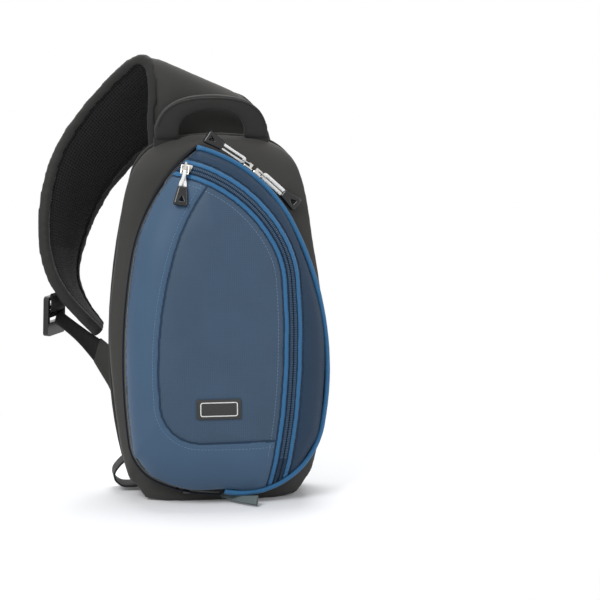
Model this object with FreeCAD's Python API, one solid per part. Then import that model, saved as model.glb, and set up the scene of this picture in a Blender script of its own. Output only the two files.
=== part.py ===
import FreeCAD, Part
import math
import os

# Small camera sling bag: padded charcoal casing, blue zipped front flap with a pocket,
# wide shoulder strap with its buckle, carry handle and two padded dividers.
# Millimetres, +Z up. The zipped front faces -Y and leans back, and +X is to the right of it.
# The origin is the middle of the flat base.

V = FreeCAD.Vector

# Front plane: the zip lies in it, and it leans back as it rises
LEAN_DEG = 8.0
FRONT_Y = -28.0

# Zip line of the main opening, as tangent arcs (radius, turn) from its top end
ZIP_START = (-18.0, 315.5)
ZIP_HEADING = -15.0
ZIP_ARCS = [(132.0, 48.7), (278.0, 37.9), (73.9, 91.3)]

# Sewn seam down the left of the front, as tangent arcs from the same top corner
SEAM_HEADING = -141.8
SEAM_ARCS = [(163.4, 41.4), (547.9, 17.0), (44.2, 58.6), (129.9, 25.4)]

# Casing outline seen from the front: half of it, from the middle of the top
CASING_TOP = 321.5
CASING_ARCS = [(230.0, 10.0), (42.5, 65.0), (623.0, 15.0), (420.0, 13.0), (60.0, 47.0), (110.0, 30.0)]
CASING_BACK_Y = 46.0
CASING_SIDE_Y = 37.0
BACK_EDGE_ROUND = 9.0
CHANNEL_DEPTH = 6.5
SWELL_DEPTH = 10.0
SWELL_SHARE = 0.45
SHOULDER_DEPTH = 17.0

# Cloth, foam and lining
CLOTH = 1.2
CASING_FOAM = 6.0
LINING = 0.8
LAYER_GAP = 0.12
RIM_INSET = 2.0
SEAM_GAP = 0.3

# Front flap and its pocket
FLAP_RISE = 36.0
FLAP_WALL = 10.0
PANEL_CLOTH = 2.4
FLAP_FOAM = 5.0
POCKET_SPACE = 8.0
FLAP_OPEN_GAP = 0.25

# Pocket zip, as tangent arcs from the left seam
POCKET_ZIP_START = (-30.4, 296.8)
POCKET_ZIP_HEADING = -14.6
POCKET_ZIP_ARCS = [(129.0, 48.3), (84.0, 24.4), (730.0, 12.5)]
WELT_WIDTH = 5.0

# Curved seam between the pocket's side and centre panels
PANEL_SEAM_START = (-12.3, 278.8)
PANEL_SEAM_HEADING = -127.1
PANEL_SEAM_ARCS = [(187.0, 20.0), (361.6, 21.4), (35.4, 83.1), (644.0, 6.2)]

# Zips: a tape and a coil row on each side
TAPE_THICK = 0.7
TAPE_WIDTH = 5.5
TAPE_GAP = 0.9
TAPE_TURN = 1.2
COIL_SEAT = 0.05
COIL_THICK = 1.8
COIL_ROW = 2.4
COIL_PART = 0.9
PIPING_RADIUS = 2.4
PIPING_OUT = 0.5
PIPING_AHEAD = 9.0

# Sliders and pulls
SLIDER_LENGTH = 9.0
SLIDER_PLATE = 1.1
SLIDER_CLEAR = 0.3
SLIDER_HALF_WIDTH = 3.4
SLIDER_POST = 0.4
SLIDER_POST_LENGTH = 3.0
SLIDER_CORNER = 1.2
BRIDGE_HALF = 1.0
LUG_HALF = 3.2
LUG_OVER_PIN = 1.5
PIN_RISE = 2.5
PULL_PIN_RADIUS = 0.65
PULL_PIN_CLEAR = 0.08
RING_WIRE = 0.65
RING_HALF_WIDTH = 3.2
RING_LENGTH = 7.5
CORD_RADIUS = 1.25
CORD_LENGTH = 21.0
GRIP_LENGTH = 17.0
GRIP_NECK = 7.5
GRIP_END = 12.5
GRIP_THICK = 4.2
GRIP_HOLE = 6.0
GRIP_WALL = 3.0
MAIN_SLIDER_TURNS = (21.1, 25.4)
MAIN_PULL_HANG_DEG = (146.0, -42.7)
POCKET_SLIDER_TURN = 1.5
POCKET_SLIDER_TRAVEL = 4.0
POCKET_SLIDER_RISE = 0.3
POCKET_PIN_RISE = 4.2
POCKET_PULL_LIFT_DEG = 15.0
POCKET_PIN_TURN = 6.0
POCKET_CORD_LENGTH = 12.0

# Carry handle
HANDLE_CENTRE_X = -3.0
HANDLE_WIDTH = 14.0
HANDLE_AXIS_Z = 325.0
HANDLE_Y = 31.0
HANDLE_FOOT_DROP = 24.0
HANDLE_HALF_SPAN = 51.0
HANDLE_LEG = 21.0
HANDLE_RISE = 33.0
HANDLE_THICK = 13.5
HANDLE_FOOT_LIP = 1.5
HANDLE_LIP_DROP = 4.6
HANDLE_CLEAR = 0.4

# Shoulder strap: near edge and far edge, from the yoke on the bag to the tip
STRAP_NEAR = [(-56.0, 52.0, 303.0), (-57.5, 52.0, 341.0), (-57.0, 54.0, 374.0), (-63.0, 61.0, 389.5),
              (-84.0, 76.0, 376.0), (-120.0, 86.0, 335.0), (-145.0, 74.0, 293.0), (-154.5, 54.0, 247.0),
              (-152.0, 41.0, 211.0), (-139.0, 35.0, 182.0), (-104.5, 38.0, 143.5)]
STRAP_FAR = [(54.0, 52.0, 303.0), (52.0, 53.0, 318.0), (44.0, 59.0, 336.0), (28.0, 75.0, 350.0),
             (-2.0, 97.0, 340.0), (-54.0, 107.0, 302.0), (-89.0, 106.0, 266.0), (-108.0, 102.0, 235.0),
             (-120.0, 96.0, 203.0), (-120.0, 89.0, 176.0), (-100.5, 80.0, 143.0)]
STATIONS_PER_SPAN = 3
STRAP_FOAM = 6.0
STRAP_COVER = 1.4
BINDING_WIDTH = 3.4

# Webbing and buckle
WEBBING_WIDTH = 25.0
WEBBING_THICK = 1.6
LOCK_LENGTH = 36.0
LOCK_WIDTH = 33.0
LOCK_THICK = 5.0
LOCK_BAR = 3.4
WEBBING_CLEAR = 0.4
BUCKLE_SEWN = (25, 28)
BUCKLE_TRIM = 6.0
LOCK_TONGUE = 9.0
LOCK_CENTRE = (-144.0, 50.5, 160.0)
LOCK_ALONG = (0.04, 0.0, 1.0)
LOCK_ACROSS = (0.5, 0.87, 0.0)
ADJUSTER_LOWER = [(-144.0, 42.5, 154.5), (-124.5, 43.0, 136.5), (-110.0, 44.0, 118.5)]
ADJUSTER_UPPER = [(-140.5, 56.5, 163.5), (-119.0, 51.0, 147.5), (-105.0, 48.0, 138.0)]
ANCHOR_LOWER = [(-109.5, 44.0, 117.6), (-88.0, 38.0, 78.0)]
ANCHOR_UPPER = [(-103.0, 48.0, 138.2), (-86.0, 38.0, 125.0)]
ANCHOR_THICK = 2.6

# Webbing loop at the lower corner, and the soft tab at the end of the zip
LOOP_PATH = [(-79.0, 31.0), (-88.0, 24.0), (-93.0, 14.5), (-88.0, 6.5), (-78.0, 4.5), (-68.0, 5.5)]
LOOP_Y = 38.0
TAB_LOWER = [(-3.0, -18.0, 1.6), (10.0, -36.0, 1.0), (27.0, -52.0, 1.0)]
TAB_UPPER = [(0.0, -20.0, 4.2), (13.0, -34.0, 4.4), (29.0, -45.0, 7.4)]
TAB_THICK = 0.9

# Mesh pad on the back
PAD_INSET = 17.0
PAD_THICK = 7.0
PAD_TOP_Z = 286.0
PAD_BOTTOM_Z = 8.0

# Dividers inside
DIVIDER_THICK = 8.0
DIVIDER_HEIGHTS = (112.0, 205.0)
DIVIDER_CLEAR = 0.5
DIVIDER_TRAVEL = 12.0
DIVIDER_FRONT_GAP = 4.0

# Label patch
LABEL_WIDTH = 39.0
LABEL_HEIGHT = 17.5
LABEL_THICK = 1.6
LABEL_CENTRE = (-6.0, 85.0)

# Small helpers


def save(shape, name):
    """Write one piece as its own STEP file, and print what it holds."""
    shape.exportStep(os.path.join("parts", name + ".step"))
    box = shape.BoundBox
    print("%-26s solids %d  volume %9.1f  x %.1f..%.1f  y %.1f..%.1f  z %.1f..%.1f  valid %s" % (
        name, len(shape.Solids), shape.Volume, box.XMin, box.XMax, box.YMin, box.YMax,
        box.ZMin, box.ZMax, shape.isValid()))


def direction(degrees):
    """Unit step in a plane, from an angle counted from +X towards up."""
    return math.cos(math.radians(degrees)), math.sin(math.radians(degrees))


def arc_chain(start, heading, arcs, side):
    """Tangent arcs walked from start; side -1 bends to the right and +1 to the left."""
    chain = []
    x, z = start
    for radius, turn in arcs:
        to_centre = direction(heading + 90.0 * side)
        centre = (x + radius * to_centre[0], z + radius * to_centre[1])
        chain.append((centre, radius, heading, turn, side))
        heading += side * turn
        from_centre = direction(heading - 90.0 * side)
        x, z = centre[0] + radius * from_centre[0], centre[1] + radius * from_centre[1]
    return chain


def on_arc(arc, turned, outset=0.0):
    """Point of one arc after some degrees of turn, moved outward by outset."""
    centre, radius, heading, _, side = arc
    out = direction(heading + side * turned - 90.0 * side)
    return centre[0] + (radius + outset) * out[0], centre[1] + (radius + outset) * out[1]


def chain_points(chain, counts, outset=0.0):
    """Evenly spaced points of each arc, with the chain's very end last."""
    points = []
    for arc, count in zip(chain, counts):
        points += [on_arc(arc, arc[3] * step / count, outset) for step in range(count)]
    return points + [on_arc(chain[-1], chain[-1][3], outset)]


def leaned(lean_deg, front_y):
    """Placement that takes a plane standing in XZ and leans it back from front_y."""
    return FreeCAD.Placement(V(0, front_y, 0), FreeCAD.Rotation(V(1, 0, 0), -lean_deg))


FRONT = leaned(LEAN_DEG, FRONT_Y)


def front_point(x, w, n=0.0):
    """World point from the front plane's own width, height and distance in front of it."""
    return FRONT.multVec(V(x, -n, w))


def smooth_wire(points, placement, depth):
    """Closed smooth wire with its one corner at the first point."""
    ring = [V(x, depth, z) for x, z in points] + [V(points[0][0], depth, points[0][1])]
    marks = [float(index) for index in range(len(ring))]
    curve = Part.BSplineCurve()
    curve.interpolate(Points=ring, Parameters=marks)
    wire = Part.Wire([curve.toShape()])
    wire.Placement = placement
    return wire


def shrunk(points, inset, tall_inset=None):
    """Outline drawn in at its widest places by inset, and by tall_inset at top and bottom."""
    xs = [x for x, _ in points]
    zs = [z for _, z in points]
    middle_x, half_x = (min(xs) + max(xs)) / 2, (max(xs) - min(xs)) / 2
    middle_z, half_z = (min(zs) + max(zs)) / 2, (max(zs) - min(zs)) / 2
    scale_x = 1 - inset / half_x
    scale_z = 1 - (inset if tall_inset is None else tall_inset) / half_z
    return [(middle_x + (x - middle_x) * scale_x, middle_z + (z - middle_z) * scale_z) for x, z in points]


def between(first, second, share):
    """Outline part of the way from one to the other, point by point."""
    return [(a[0] + (b[0] - a[0]) * share, a[1] + (b[1] - a[1]) * share) for a, b in zip(first, second)]


def loft(wires, ruled=False):
    return Part.makeLoft(wires, True, ruled)


def box_between(low, high):
    """Plain block between two corners."""
    return Part.makeBox(high[0] - low[0], high[1] - low[1], high[2] - low[2], V(*low))


def prism(points, low_n, high_n):
    """Straight-sided block over an outline of the front plane, between two distances in front."""
    corners = [V(x, -low_n, w) for x, w in points]
    face = Part.Face(Part.makePolygon(corners + [corners[0]]))
    block = face.extrude(V(0, low_n - high_n, 0))
    block.Placement = FRONT
    return block


# Outlines of the front and of the casing, as matching points round from the top
ZIP_CHAIN = arc_chain(ZIP_START, ZIP_HEADING, ZIP_ARCS, -1)
SEAM_CHAIN = arc_chain(ZIP_START, SEAM_HEADING, SEAM_ARCS, 1)
ZIP_STEPS = (4, 3, 6)
SEAM_STEPS = (3, 2, 3, 2)
front_outline = chain_points(ZIP_CHAIN, ZIP_STEPS) + chain_points(SEAM_CHAIN, SEAM_STEPS)[-2:0:-1]

CASING_CHAIN = arc_chain((0.0, CASING_TOP), 0.0, CASING_ARCS, -1)
RIGHT_STEPS = (1, 2, 3, 2, 3, 2)
LEFT_STEPS = (1, 1, 2, 1, 3, 2)
casing_right = chain_points(CASING_CHAIN, RIGHT_STEPS)
casing_left = [(-x, z) for x, z in chain_points(CASING_CHAIN, LEFT_STEPS)]
casing_outline = casing_right + casing_left[-2:0:-1]

WORLD_REACH = 400.0
PROUD = 6.0


def above(height):
    """Everything over a height, as a block."""
    return box_between((-WORLD_REACH, -WORLD_REACH, height), (WORLD_REACH, WORLD_REACH, 2 * WORLD_REACH))


def front_slab(low_n, high_n):
    """Everything between two distances in front of the zip plane, as a block."""
    slab = box_between((-WORLD_REACH, -high_n, -WORLD_REACH), (WORLD_REACH, -low_n, WORLD_REACH))
    slab.Placement = FRONT
    return slab


def extent(points, axis):
    """Middle and half-size of an outline along one of its two axes."""
    values = [point[axis] for point in points]
    return (min(values) + max(values)) / 2, (max(values) - min(values)) / 2


def drawn_in(shape, outline, inset, depth_share):
    """Copy of a form drawn in by inset all round its outline, and its depth scaled by a share."""
    middle_x, half_x = extent(outline, 0)
    middle_w, half_w = extent(outline, 1)
    centre = V(middle_x, 0, middle_w)
    scale = FreeCAD.Matrix()
    scale.scale(V(1 - inset / half_x, depth_share, 1 - inset / half_w))
    to_front = FRONT.toMatrix()
    move = FreeCAD.Matrix()
    move.move(centre)
    back = FreeCAD.Matrix()
    back.move(centre.negative())
    return shape.transformGeometry(to_front * move * scale * back * to_front.inverse())


def casing_form():
    """Outside of the casing, running on past the zip plane so that it can be trimmed there."""
    rim = shrunk(front_outline, RIM_INSET)
    swell = between(rim, casing_outline, SWELL_SHARE)
    back = shrunk(casing_outline, BACK_EDGE_ROUND)
    return loft([smooth_wire(rim, FRONT, -PROUD), smooth_wire(rim, FRONT, CHANNEL_DEPTH),
                 smooth_wire(swell, FRONT, SWELL_DEPTH),
                 smooth_wire(casing_outline, FRONT, SHOULDER_DEPTH),
                 smooth_wire(casing_outline, leaned(0.0, CASING_SIDE_Y), 0.0),
                 smooth_wire(back, leaned(0.0, CASING_BACK_Y), 0.0)], True)


CASING_FORM = casing_form()
CASING_DEPTH = CASING_BACK_Y - FRONT_Y


def casing_block(inset):
    """The casing's form drawn in by inset, standing as far over the floor."""
    return drawn_in(CASING_FORM, casing_outline, inset, 1 - inset / CASING_DEPTH).common(above(inset))


behind_front = front_slab(-WORLD_REACH, -FLAP_OPEN_GAP)
foam_inset = CLOTH + LAYER_GAP
lining_inset = foam_inset + CASING_FOAM + LAYER_GAP
hollow_inset = lining_inset + LINING
casing_hollow = casing_block(hollow_inset)
outer_casing = casing_block(0.0).cut(casing_block(CLOTH)).common(behind_front)
casing_foam = casing_block(foam_inset).cut(casing_block(foam_inset + CASING_FOAM)).common(behind_front)
casing_lining = casing_block(lining_inset).cut(casing_hollow).common(behind_front)

# The flap's domed front: rise in front of the zip plane, and inset at the sides and at the ends
DOME_SECTIONS = [(FLAP_WALL, 0.0, 0.0), (20.0, 7.0, 12.0), (28.0, 18.0, 32.0), (33.5, 36.0, 60.0),
                 (FLAP_RISE, 60.0, 100.0)]


def dome_wire(inset, tall_inset, rise):
    return smooth_wire(shrunk(front_outline, RIM_INSET + inset, RIM_INSET + tall_inset), FRONT, -rise)


def dome_form():
    """Outside of the flap: a straight wall that runs on behind the zip plane, and the crown on it."""
    wall = loft([dome_wire(0.0, 0.0, -PROUD), dome_wire(0.0, 0.0, FLAP_WALL)], True)
    crown = loft([dome_wire(side, end, rise) for rise, side, end in DOME_SECTIONS])
    return wall.fuse(crown)


DOME_FORM = dome_form()
ahead_of_front = front_slab(FLAP_OPEN_GAP, WORLD_REACH)


def flap_dome(inset, drop):
    """The flap's form, drawn in by inset at its wall and lower by drop at its crown."""
    return drawn_in(DOME_FORM, front_outline, inset, (FLAP_RISE - drop) / FLAP_RISE)


def flap_layer(inset, drop, thick):
    """One layer of the flap, thick through its wall and its crown."""
    layer = flap_dome(inset, drop).cut(flap_dome(inset + thick, drop + thick))
    return layer.common(ahead_of_front)


def dome_height(dome, x, w):
    """Distance in front of the zip plane at which a dome's surface stands over one place."""
    needle = Part.makeLine(front_point(x, w, FLAP_OPEN_GAP + 1.0), front_point(x, w, 2 * FLAP_RISE))
    tips = [FRONT.inverse().multVec(vertex.Point) for vertex in needle.common(dome).Vertexes]
    return max(-tip.y for tip in tips)


cover_dome = flap_dome(0.0, 0.0)
flap_cover = flap_layer(0.0, 0.0, PANEL_CLOTH)
foam_drop = PANEL_CLOTH + POCKET_SPACE
foam_side = PANEL_CLOTH + SEAM_GAP
flap_foam = flap_layer(foam_side, foam_drop, FLAP_FOAM)
foam_share = FLAP_FOAM + LAYER_GAP
flap_lining = flap_layer(foam_side + foam_share, foam_drop + foam_share, LINING)

# The pocket zip parts the front cover into the pocket's panels and the gusset round them
POCKET_CHAIN = arc_chain(POCKET_ZIP_START, POCKET_ZIP_HEADING, POCKET_ZIP_ARCS, -1)
POCKET_STEPS = (8, 5, 4)
BEYOND = 40.0


def pocket_region(outset):
    """Block over the pocket's panels: left of its zip line, which is moved outward by outset."""
    line = chain_points(POCKET_CHAIN, POCKET_STEPS, outset)
    top = line[0]
    bottom = line[-1]
    corners = [(top[0] - BEYOND, top[1] + BEYOND / 4)] + line
    corners += [(bottom[0] - BEYOND / 5, bottom[1] - BEYOND), (-3 * BEYOND, -BEYOND),
                (-3 * BEYOND, top[1] + BEYOND / 4)]
    return prism(corners, -1.0, 2 * FLAP_RISE)


row_end = COIL_PART + COIL_ROW
welt_start = row_end + SEAM_GAP
welt_end = welt_start + WELT_WIDTH
gusset_panel = flap_cover.cut(pocket_region(welt_end + LAYER_GAP))
outer_welt = flap_cover.common(pocket_region(welt_end)).cut(pocket_region(welt_start))
outer_row = flap_cover.common(pocket_region(row_end)).cut(pocket_region(COIL_PART))
inner_row = flap_cover.common(pocket_region(-COIL_PART)).cut(pocket_region(-row_end))
inner_welt = flap_cover.common(pocket_region(-welt_start)).cut(pocket_region(-welt_end))
pocket_front = flap_cover.common(pocket_region(-welt_end - LAYER_GAP))

# The curved seam parts the pocket's front into a side panel and a centre panel
PANEL_CHAIN = arc_chain(PANEL_SEAM_START, PANEL_SEAM_HEADING, PANEL_SEAM_ARCS, 1)
PANEL_STEPS = (4, 5, 6, 1)


def centre_region(outset):
    """Block over the centre panel: right of the curved seam, moved outward by outset."""
    line = chain_points(PANEL_CHAIN, PANEL_STEPS, outset)
    corners = [(line[0][0], line[0][1] + BEYOND)] + line
    corners += [(line[-1][0] + BEYOND, line[-1][1]), (line[-1][0] + BEYOND, line[0][1] + BEYOND)]
    return prism(corners, -1.0, 2 * FLAP_RISE)


centre_panel = pocket_front.common(centre_region(0.0))
side_panel = pocket_front.cut(centre_region(LAYER_GAP))

# Label patch, lying on the dome of the centre panel
label_x, label_w = LABEL_CENTRE
label_block = prism([(label_x - LABEL_WIDTH / 2, label_w - LABEL_HEIGHT / 2),
                     (label_x + LABEL_WIDTH / 2, label_w - LABEL_HEIGHT / 2),
                     (label_x + LABEL_WIDTH / 2, label_w + LABEL_HEIGHT / 2),
                     (label_x - LABEL_WIDTH / 2, label_w + LABEL_HEIGHT / 2)], 0.0, 2 * FLAP_RISE)
patch_top = LAYER_GAP + LABEL_THICK
label_patch = label_block.common(flap_dome(-patch_top, -patch_top)).cut(flap_dome(-LAYER_GAP, -LAYER_GAP))


# Zips: tape and coil rows stand on the zip line as bands of its arcs


def arc_edges(chain, outset):
    """The chain's arcs as edges of the plane, moved outward by outset."""
    edges = []
    for arc in chain:
        first, middle, last = (on_arc(arc, arc[3] * share, outset) for share in (0.0, 0.5, 1.0))
        arc_curve = Part.Arc(V(first[0], 0, first[1]), V(middle[0], 0, middle[1]), V(last[0], 0, last[1]))
        edges.append(arc_curve.toShape())
    return edges


def band(chain, low_out, high_out, low_n, high_n):
    """Strip along a chain, between two distances outward of it and two in front of the plane."""
    inner = arc_edges(chain, low_out)
    outer = arc_edges(chain, high_out)
    ends = [Part.makeLine(inner[0].Vertexes[0].Point, outer[0].Vertexes[0].Point),
            Part.makeLine(inner[-1].Vertexes[-1].Point, outer[-1].Vertexes[-1].Point)]
    face = Part.Face(Part.Wire(Part.__sortEdges__(inner + outer + ends)))
    strip = face.extrude(V(0, low_n - high_n, 0))
    strip.translate(V(0, -low_n, 0))
    strip.Placement = FRONT.multiply(strip.Placement)
    return strip


def two_bands(chain, first, second):
    return band(chain, *first).fuse(band(chain, *second)).removeSplitter()


wall_reach = -RIM_INSET - SEAM_GAP
tape_edge = TAPE_GAP + TAPE_WIDTH
coil_low = TAPE_THICK + COIL_SEAT
coil_high = coil_low + COIL_THICK
flap_zip_tape = two_bands(ZIP_CHAIN, (0.0, TAPE_THICK, TAPE_GAP, tape_edge),
                          (wall_reach, 0.0, tape_edge - TAPE_TURN, tape_edge)).cut(DOME_FORM)
casing_zip_tape = two_bands(ZIP_CHAIN, (0.0, TAPE_THICK, -tape_edge, -TAPE_GAP),
                            (wall_reach, 0.0, -tape_edge, TAPE_TURN - tape_edge)).cut(CASING_FORM)
flap_zip_row = band(ZIP_CHAIN, coil_low, coil_high, COIL_PART, row_end)
casing_zip_row = band(ZIP_CHAIN, coil_low, coil_high, -row_end, -COIL_PART)

piping_spine = Part.Wire(arc_edges(ZIP_CHAIN, PIPING_OUT))
piping_spine.Placement = FRONT.multiply(FreeCAD.Placement(V(0, -PIPING_AHEAD, 0), FreeCAD.Rotation()))


def rope(spine, radius):
    """Round solid of one radius along a wire."""
    first = spine.Edges[0]
    start = first.valueAt(first.FirstParameter)
    tangent = first.tangentAt(first.FirstParameter)
    ring = Part.Wire([Part.makeCircle(radius, start, tangent)])
    return spine.makePipeShell([ring], True, True)


main_piping = rope(piping_spine, PIPING_RADIUS).cut(DOME_FORM)

# Sliders and pulls are made in a frame of their own: x along the zip, y in front, z outward


def spot_on(chain_arc, turned, outset, n):
    """Placement of a slider's frame on one arc of the zip."""
    heading = chain_arc[2] + chain_arc[4] * turned
    x, w = on_arc(chain_arc, turned, outset)
    turn = FreeCAD.Placement(V(x, -n, w), FreeCAD.Rotation(V(0, 1, 0), -heading))
    return FRONT.multiply(turn)


def placed(shape, placement):
    copy = shape.copy()
    copy.Placement = placement.multiply(copy.Placement)
    return copy


plate_low = coil_high + SLIDER_CLEAR
plate_high = plate_low + SLIDER_PLATE
rear_high = -SLIDER_CLEAR


def turned_up(shape, degrees):
    """Copy turned about the outward axis."""
    return placed(shape, FreeCAD.Placement(V(0, 0, 0), FreeCAD.Rotation(V(0, 0, 1), degrees)))


def slider_body(rear_reach, rear_top, lean):
    """Zip slider: plate over the coil, plate behind the tape, and a post between them.

    The post leans by a share of its depth along y, where the coil rows are not square to the plate.
    """
    half = SLIDER_LENGTH / 2
    plate = box_between((-half, -SLIDER_HALF_WIDTH, plate_low), (half, SLIDER_HALF_WIDTH, plate_high))
    corners = [edge for edge in plate.Edges if abs(edge.tangentAt(edge.FirstParameter).z) > 0.99]
    plate = plate.makeFillet(SLIDER_CORNER, corners)
    rear_middle = (rear_top - coil_high) * lean
    rear = box_between((-half, rear_middle - rear_reach[0], rear_top - SLIDER_PLATE),
                       (half, rear_middle + rear_reach[1], rear_top))
    sections = []
    for height in (rear_top - SLIDER_PLATE / 2, plate_low + SLIDER_PLATE / 2):
        middle = (height - coil_high) * lean
        low, high = middle - SLIDER_POST, middle + SLIDER_POST
        ring = [V(half - SLIDER_POST_LENGTH, low, height), V(half, low, height),
                V(half, high, height), V(half - SLIDER_POST_LENGTH, high, height)]
        sections.append(Part.makePolygon(ring + [ring[0]]))
    return plate.fuse([rear, loft(sections, True)]).removeSplitter()


def pull_lug(rise):
    """Lug in the pull's own frame, whose origin is the pin and whose y is the pin's axis."""
    lug = box_between((-LUG_HALF, -BRIDGE_HALF, -rise - SLIDER_PLATE / 2),
                      (LUG_HALF, BRIDGE_HALF, LUG_OVER_PIN))
    bore = PULL_PIN_RADIUS + PULL_PIN_CLEAR
    return lug.cut(Part.makeCylinder(bore, 4 * BRIDGE_HALF, V(0, -2 * BRIDGE_HALF, 0), V(0, 1, 0)))


def rod(start, end, radius):
    """Round bar between two points, with round ends so that bars join at corners."""
    run = end.sub(start)
    ends = [Part.makeSphere(radius, start), Part.makeSphere(radius, end)]
    return Part.makeCylinder(radius, run.Length, start, run).fuse(ends)


def pull_ring():
    """Wire link round the slider's lug; it runs out along x from its pin."""
    near = [V(0, -RING_HALF_WIDTH, 0), V(0, RING_HALF_WIDTH, 0)]
    far = [V(RING_LENGTH, -RING_HALF_WIDTH, 0), V(RING_LENGTH, RING_HALF_WIDTH, 0)]
    sides = [(near[0], near[1]), (far[0], far[1]), (near[0], far[0]), (near[1], far[1])]
    bars = [rod(start, end, RING_WIRE) for start, end in sides]
    return bars[0].fuse(bars[1:]).removeSplitter()


cord_turn = RING_WIRE + PULL_PIN_CLEAR + CORD_RADIUS


def pull_cord(grip_start, twist):
    """Cord looped round the link's far bar; its legs run back into the grip, turned by twist."""
    across = math.sin(math.radians(twist)) * cord_turn
    up = math.cos(math.radians(twist)) * cord_turn
    back = V(-1, 0, 0)
    legs = []
    for side in (1, -1):
        leg = Part.BSplineCurve()
        leg.interpolate(Points=[V(grip_start, side * across, side * up), V(RING_LENGTH, 0, side * cord_turn)],
                        InitialTangent=back, FinalTangent=back)
        legs.append(leg.toShape())
    middle = V(RING_LENGTH - cord_turn, 0, 0)
    bend = Part.Arc(V(RING_LENGTH, 0, cord_turn), middle, V(RING_LENGTH, 0, -cord_turn))
    return rope(Part.Wire([legs[0], bend.toShape(), legs[1].reversed()]), CORD_RADIUS)


def pull_grip(grip_start):
    """Moulded finger grip, narrow at the cord, with a three-cornered hole."""
    start = grip_start + LAYER_GAP
    end = start + GRIP_LENGTH
    outline = [V(start, -GRIP_THICK / 2, -GRIP_NECK / 2), V(end, -GRIP_THICK / 2, -GRIP_END / 2),
               V(end, -GRIP_THICK / 2, GRIP_END / 2), V(start, -GRIP_THICK / 2, GRIP_NECK / 2)]
    grip = Part.Face(Part.makePolygon(outline + [outline[0]])).extrude(V(0, GRIP_THICK, 0))
    grip = grip.makeFillet(GRIP_THICK / 3, grip.Edges)
    hole = [V(end - GRIP_WALL - GRIP_HOLE, -GRIP_THICK, 0), V(end - GRIP_WALL, -GRIP_THICK, -GRIP_HOLE / 2),
            V(end - GRIP_WALL, -GRIP_THICK, GRIP_HOLE / 2)]
    return grip.cut(Part.Face(Part.makePolygon(hole + [hole[0]])).extrude(V(0, 2 * GRIP_THICK, 0)))


def lifted(pin_spot, lift_deg):
    """Placement of a pull on its pin, lifted by an angle."""
    return pin_spot.multiply(FreeCAD.Placement(V(0, 0, 0), FreeCAD.Rotation(V(0, 1, 0), -lift_deg)))


def save_pull(name, spot, cord_length, twist):
    """Write a pull's three pieces; twist turns the grip's wide face about its length."""
    roll = FreeCAD.Placement(V(0, 0, 0), FreeCAD.Rotation(V(1, 0, 0), twist))
    save(placed(pull_ring(), spot), "pull_ring_" + name)
    save(placed(pull_cord(RING_LENGTH + cord_length, -twist), spot), "pull_cord_" + name)
    save(placed(pull_grip(RING_LENGTH + cord_length), spot.multiply(roll)), "pull_grip_" + name)


# Pocket slider: it rides on the dome, on the circle through three places of the pocket zip


def dome_point(x, w):
    return front_point(x, w, dome_height(cover_dome, x, w))


def dome_out(x, w):
    """Outward direction of the dome at one place."""
    rightward = dome_point(x + 1.0, w).sub(dome_point(x - 1.0, w))
    upward = dome_point(x, w + 1.0).sub(dome_point(x, w - 1.0))
    return rightward.cross(upward).normalize()


pocket_path = [dome_point(*on_arc(POCKET_CHAIN[0], POCKET_SLIDER_TURN + step * POCKET_SLIDER_TRAVEL / 2))
               for step in range(3)]
pocket_circle = Part.Arc(*pocket_path).toShape().Curve
pocket_along = pocket_circle.tangent(pocket_circle.parameter(pocket_path[0]))[0]
if pocket_along.dot(pocket_path[1].sub(pocket_path[0])) < 0:
    pocket_along = pocket_along.negative()
pocket_out = dome_out(*on_arc(POCKET_CHAIN[0], POCKET_SLIDER_TURN))
pocket_up = pocket_out.cross(pocket_along).normalize()
pocket_out = pocket_along.cross(pocket_up)
plate_origin = pocket_path[0].sub(pocket_out * (coil_high - POCKET_SLIDER_RISE))
POCKET_SPOT = FreeCAD.Placement(FreeCAD.Matrix(
    pocket_along.x, pocket_up.x, pocket_out.x, plate_origin.x,
    pocket_along.y, pocket_up.y, pocket_out.y, plate_origin.y,
    pocket_along.z, pocket_up.z, pocket_out.z, plate_origin.z))
ahead = FRONT.Rotation.multVec(V(0, -1, 0))
pocket_lean = ahead.dot(pocket_up) / ahead.dot(pocket_out)
pocket_rear = coil_high - PANEL_CLOTH - 3 * SLIDER_CLEAR
pocket_body = slider_body((SLIDER_HALF_WIDTH, SLIDER_HALF_WIDTH), pocket_rear, pocket_lean)
pocket_slider = placed(pocket_body, POCKET_SPOT)

# Its pull hangs from a pin that lies level with the zip plane, so that the grip hangs down
pocket_heading = POCKET_CHAIN[0][2] - POCKET_SLIDER_TURN + POCKET_PIN_TURN
level = FRONT.Rotation.multiply(FreeCAD.Rotation(V(0, 1, 0), -pocket_heading))
facing = FreeCAD.Rotation(V(1, 0, 0), 90.0).multiply(FreeCAD.Rotation(V(0, 0, 1), -90.0))
pin_centre = POCKET_SPOT.multVec(V(0, 0, plate_high + POCKET_PIN_RISE))
POCKET_PIN = FreeCAD.Placement(pin_centre, level.multiply(facing))

# Carry handle: a padded arch whose leg ends turn on rounded feet
HANDLE_ARCH = [(1.0, 0.0), (0.95, 0.33), (0.75, 0.71), (0.4, 0.94), (0.0, 1.0)]


def arch(half_span, rise):
    """Points of an arch over the handle's axis, from its left end to its right end."""
    left = [(-half_span * across, rise * up) for across, up in HANDLE_ARCH]
    return left + [(-x, z) for x, z in reversed(left[:-1])]


def smooth_edge(points):
    front_y = HANDLE_Y - HANDLE_WIDTH / 2
    curve = Part.BSplineCurve()
    curve.interpolate([V(HANDLE_CENTRE_X + x, front_y, HANDLE_AXIS_Z + z) for x, z in points])
    return curve.toShape()


def handle_bar(radius, length, start_x):
    return Part.makeCylinder(radius, length, V(start_x, HANDLE_Y, HANDLE_AXIS_Z), V(1, 0, 0))


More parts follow.
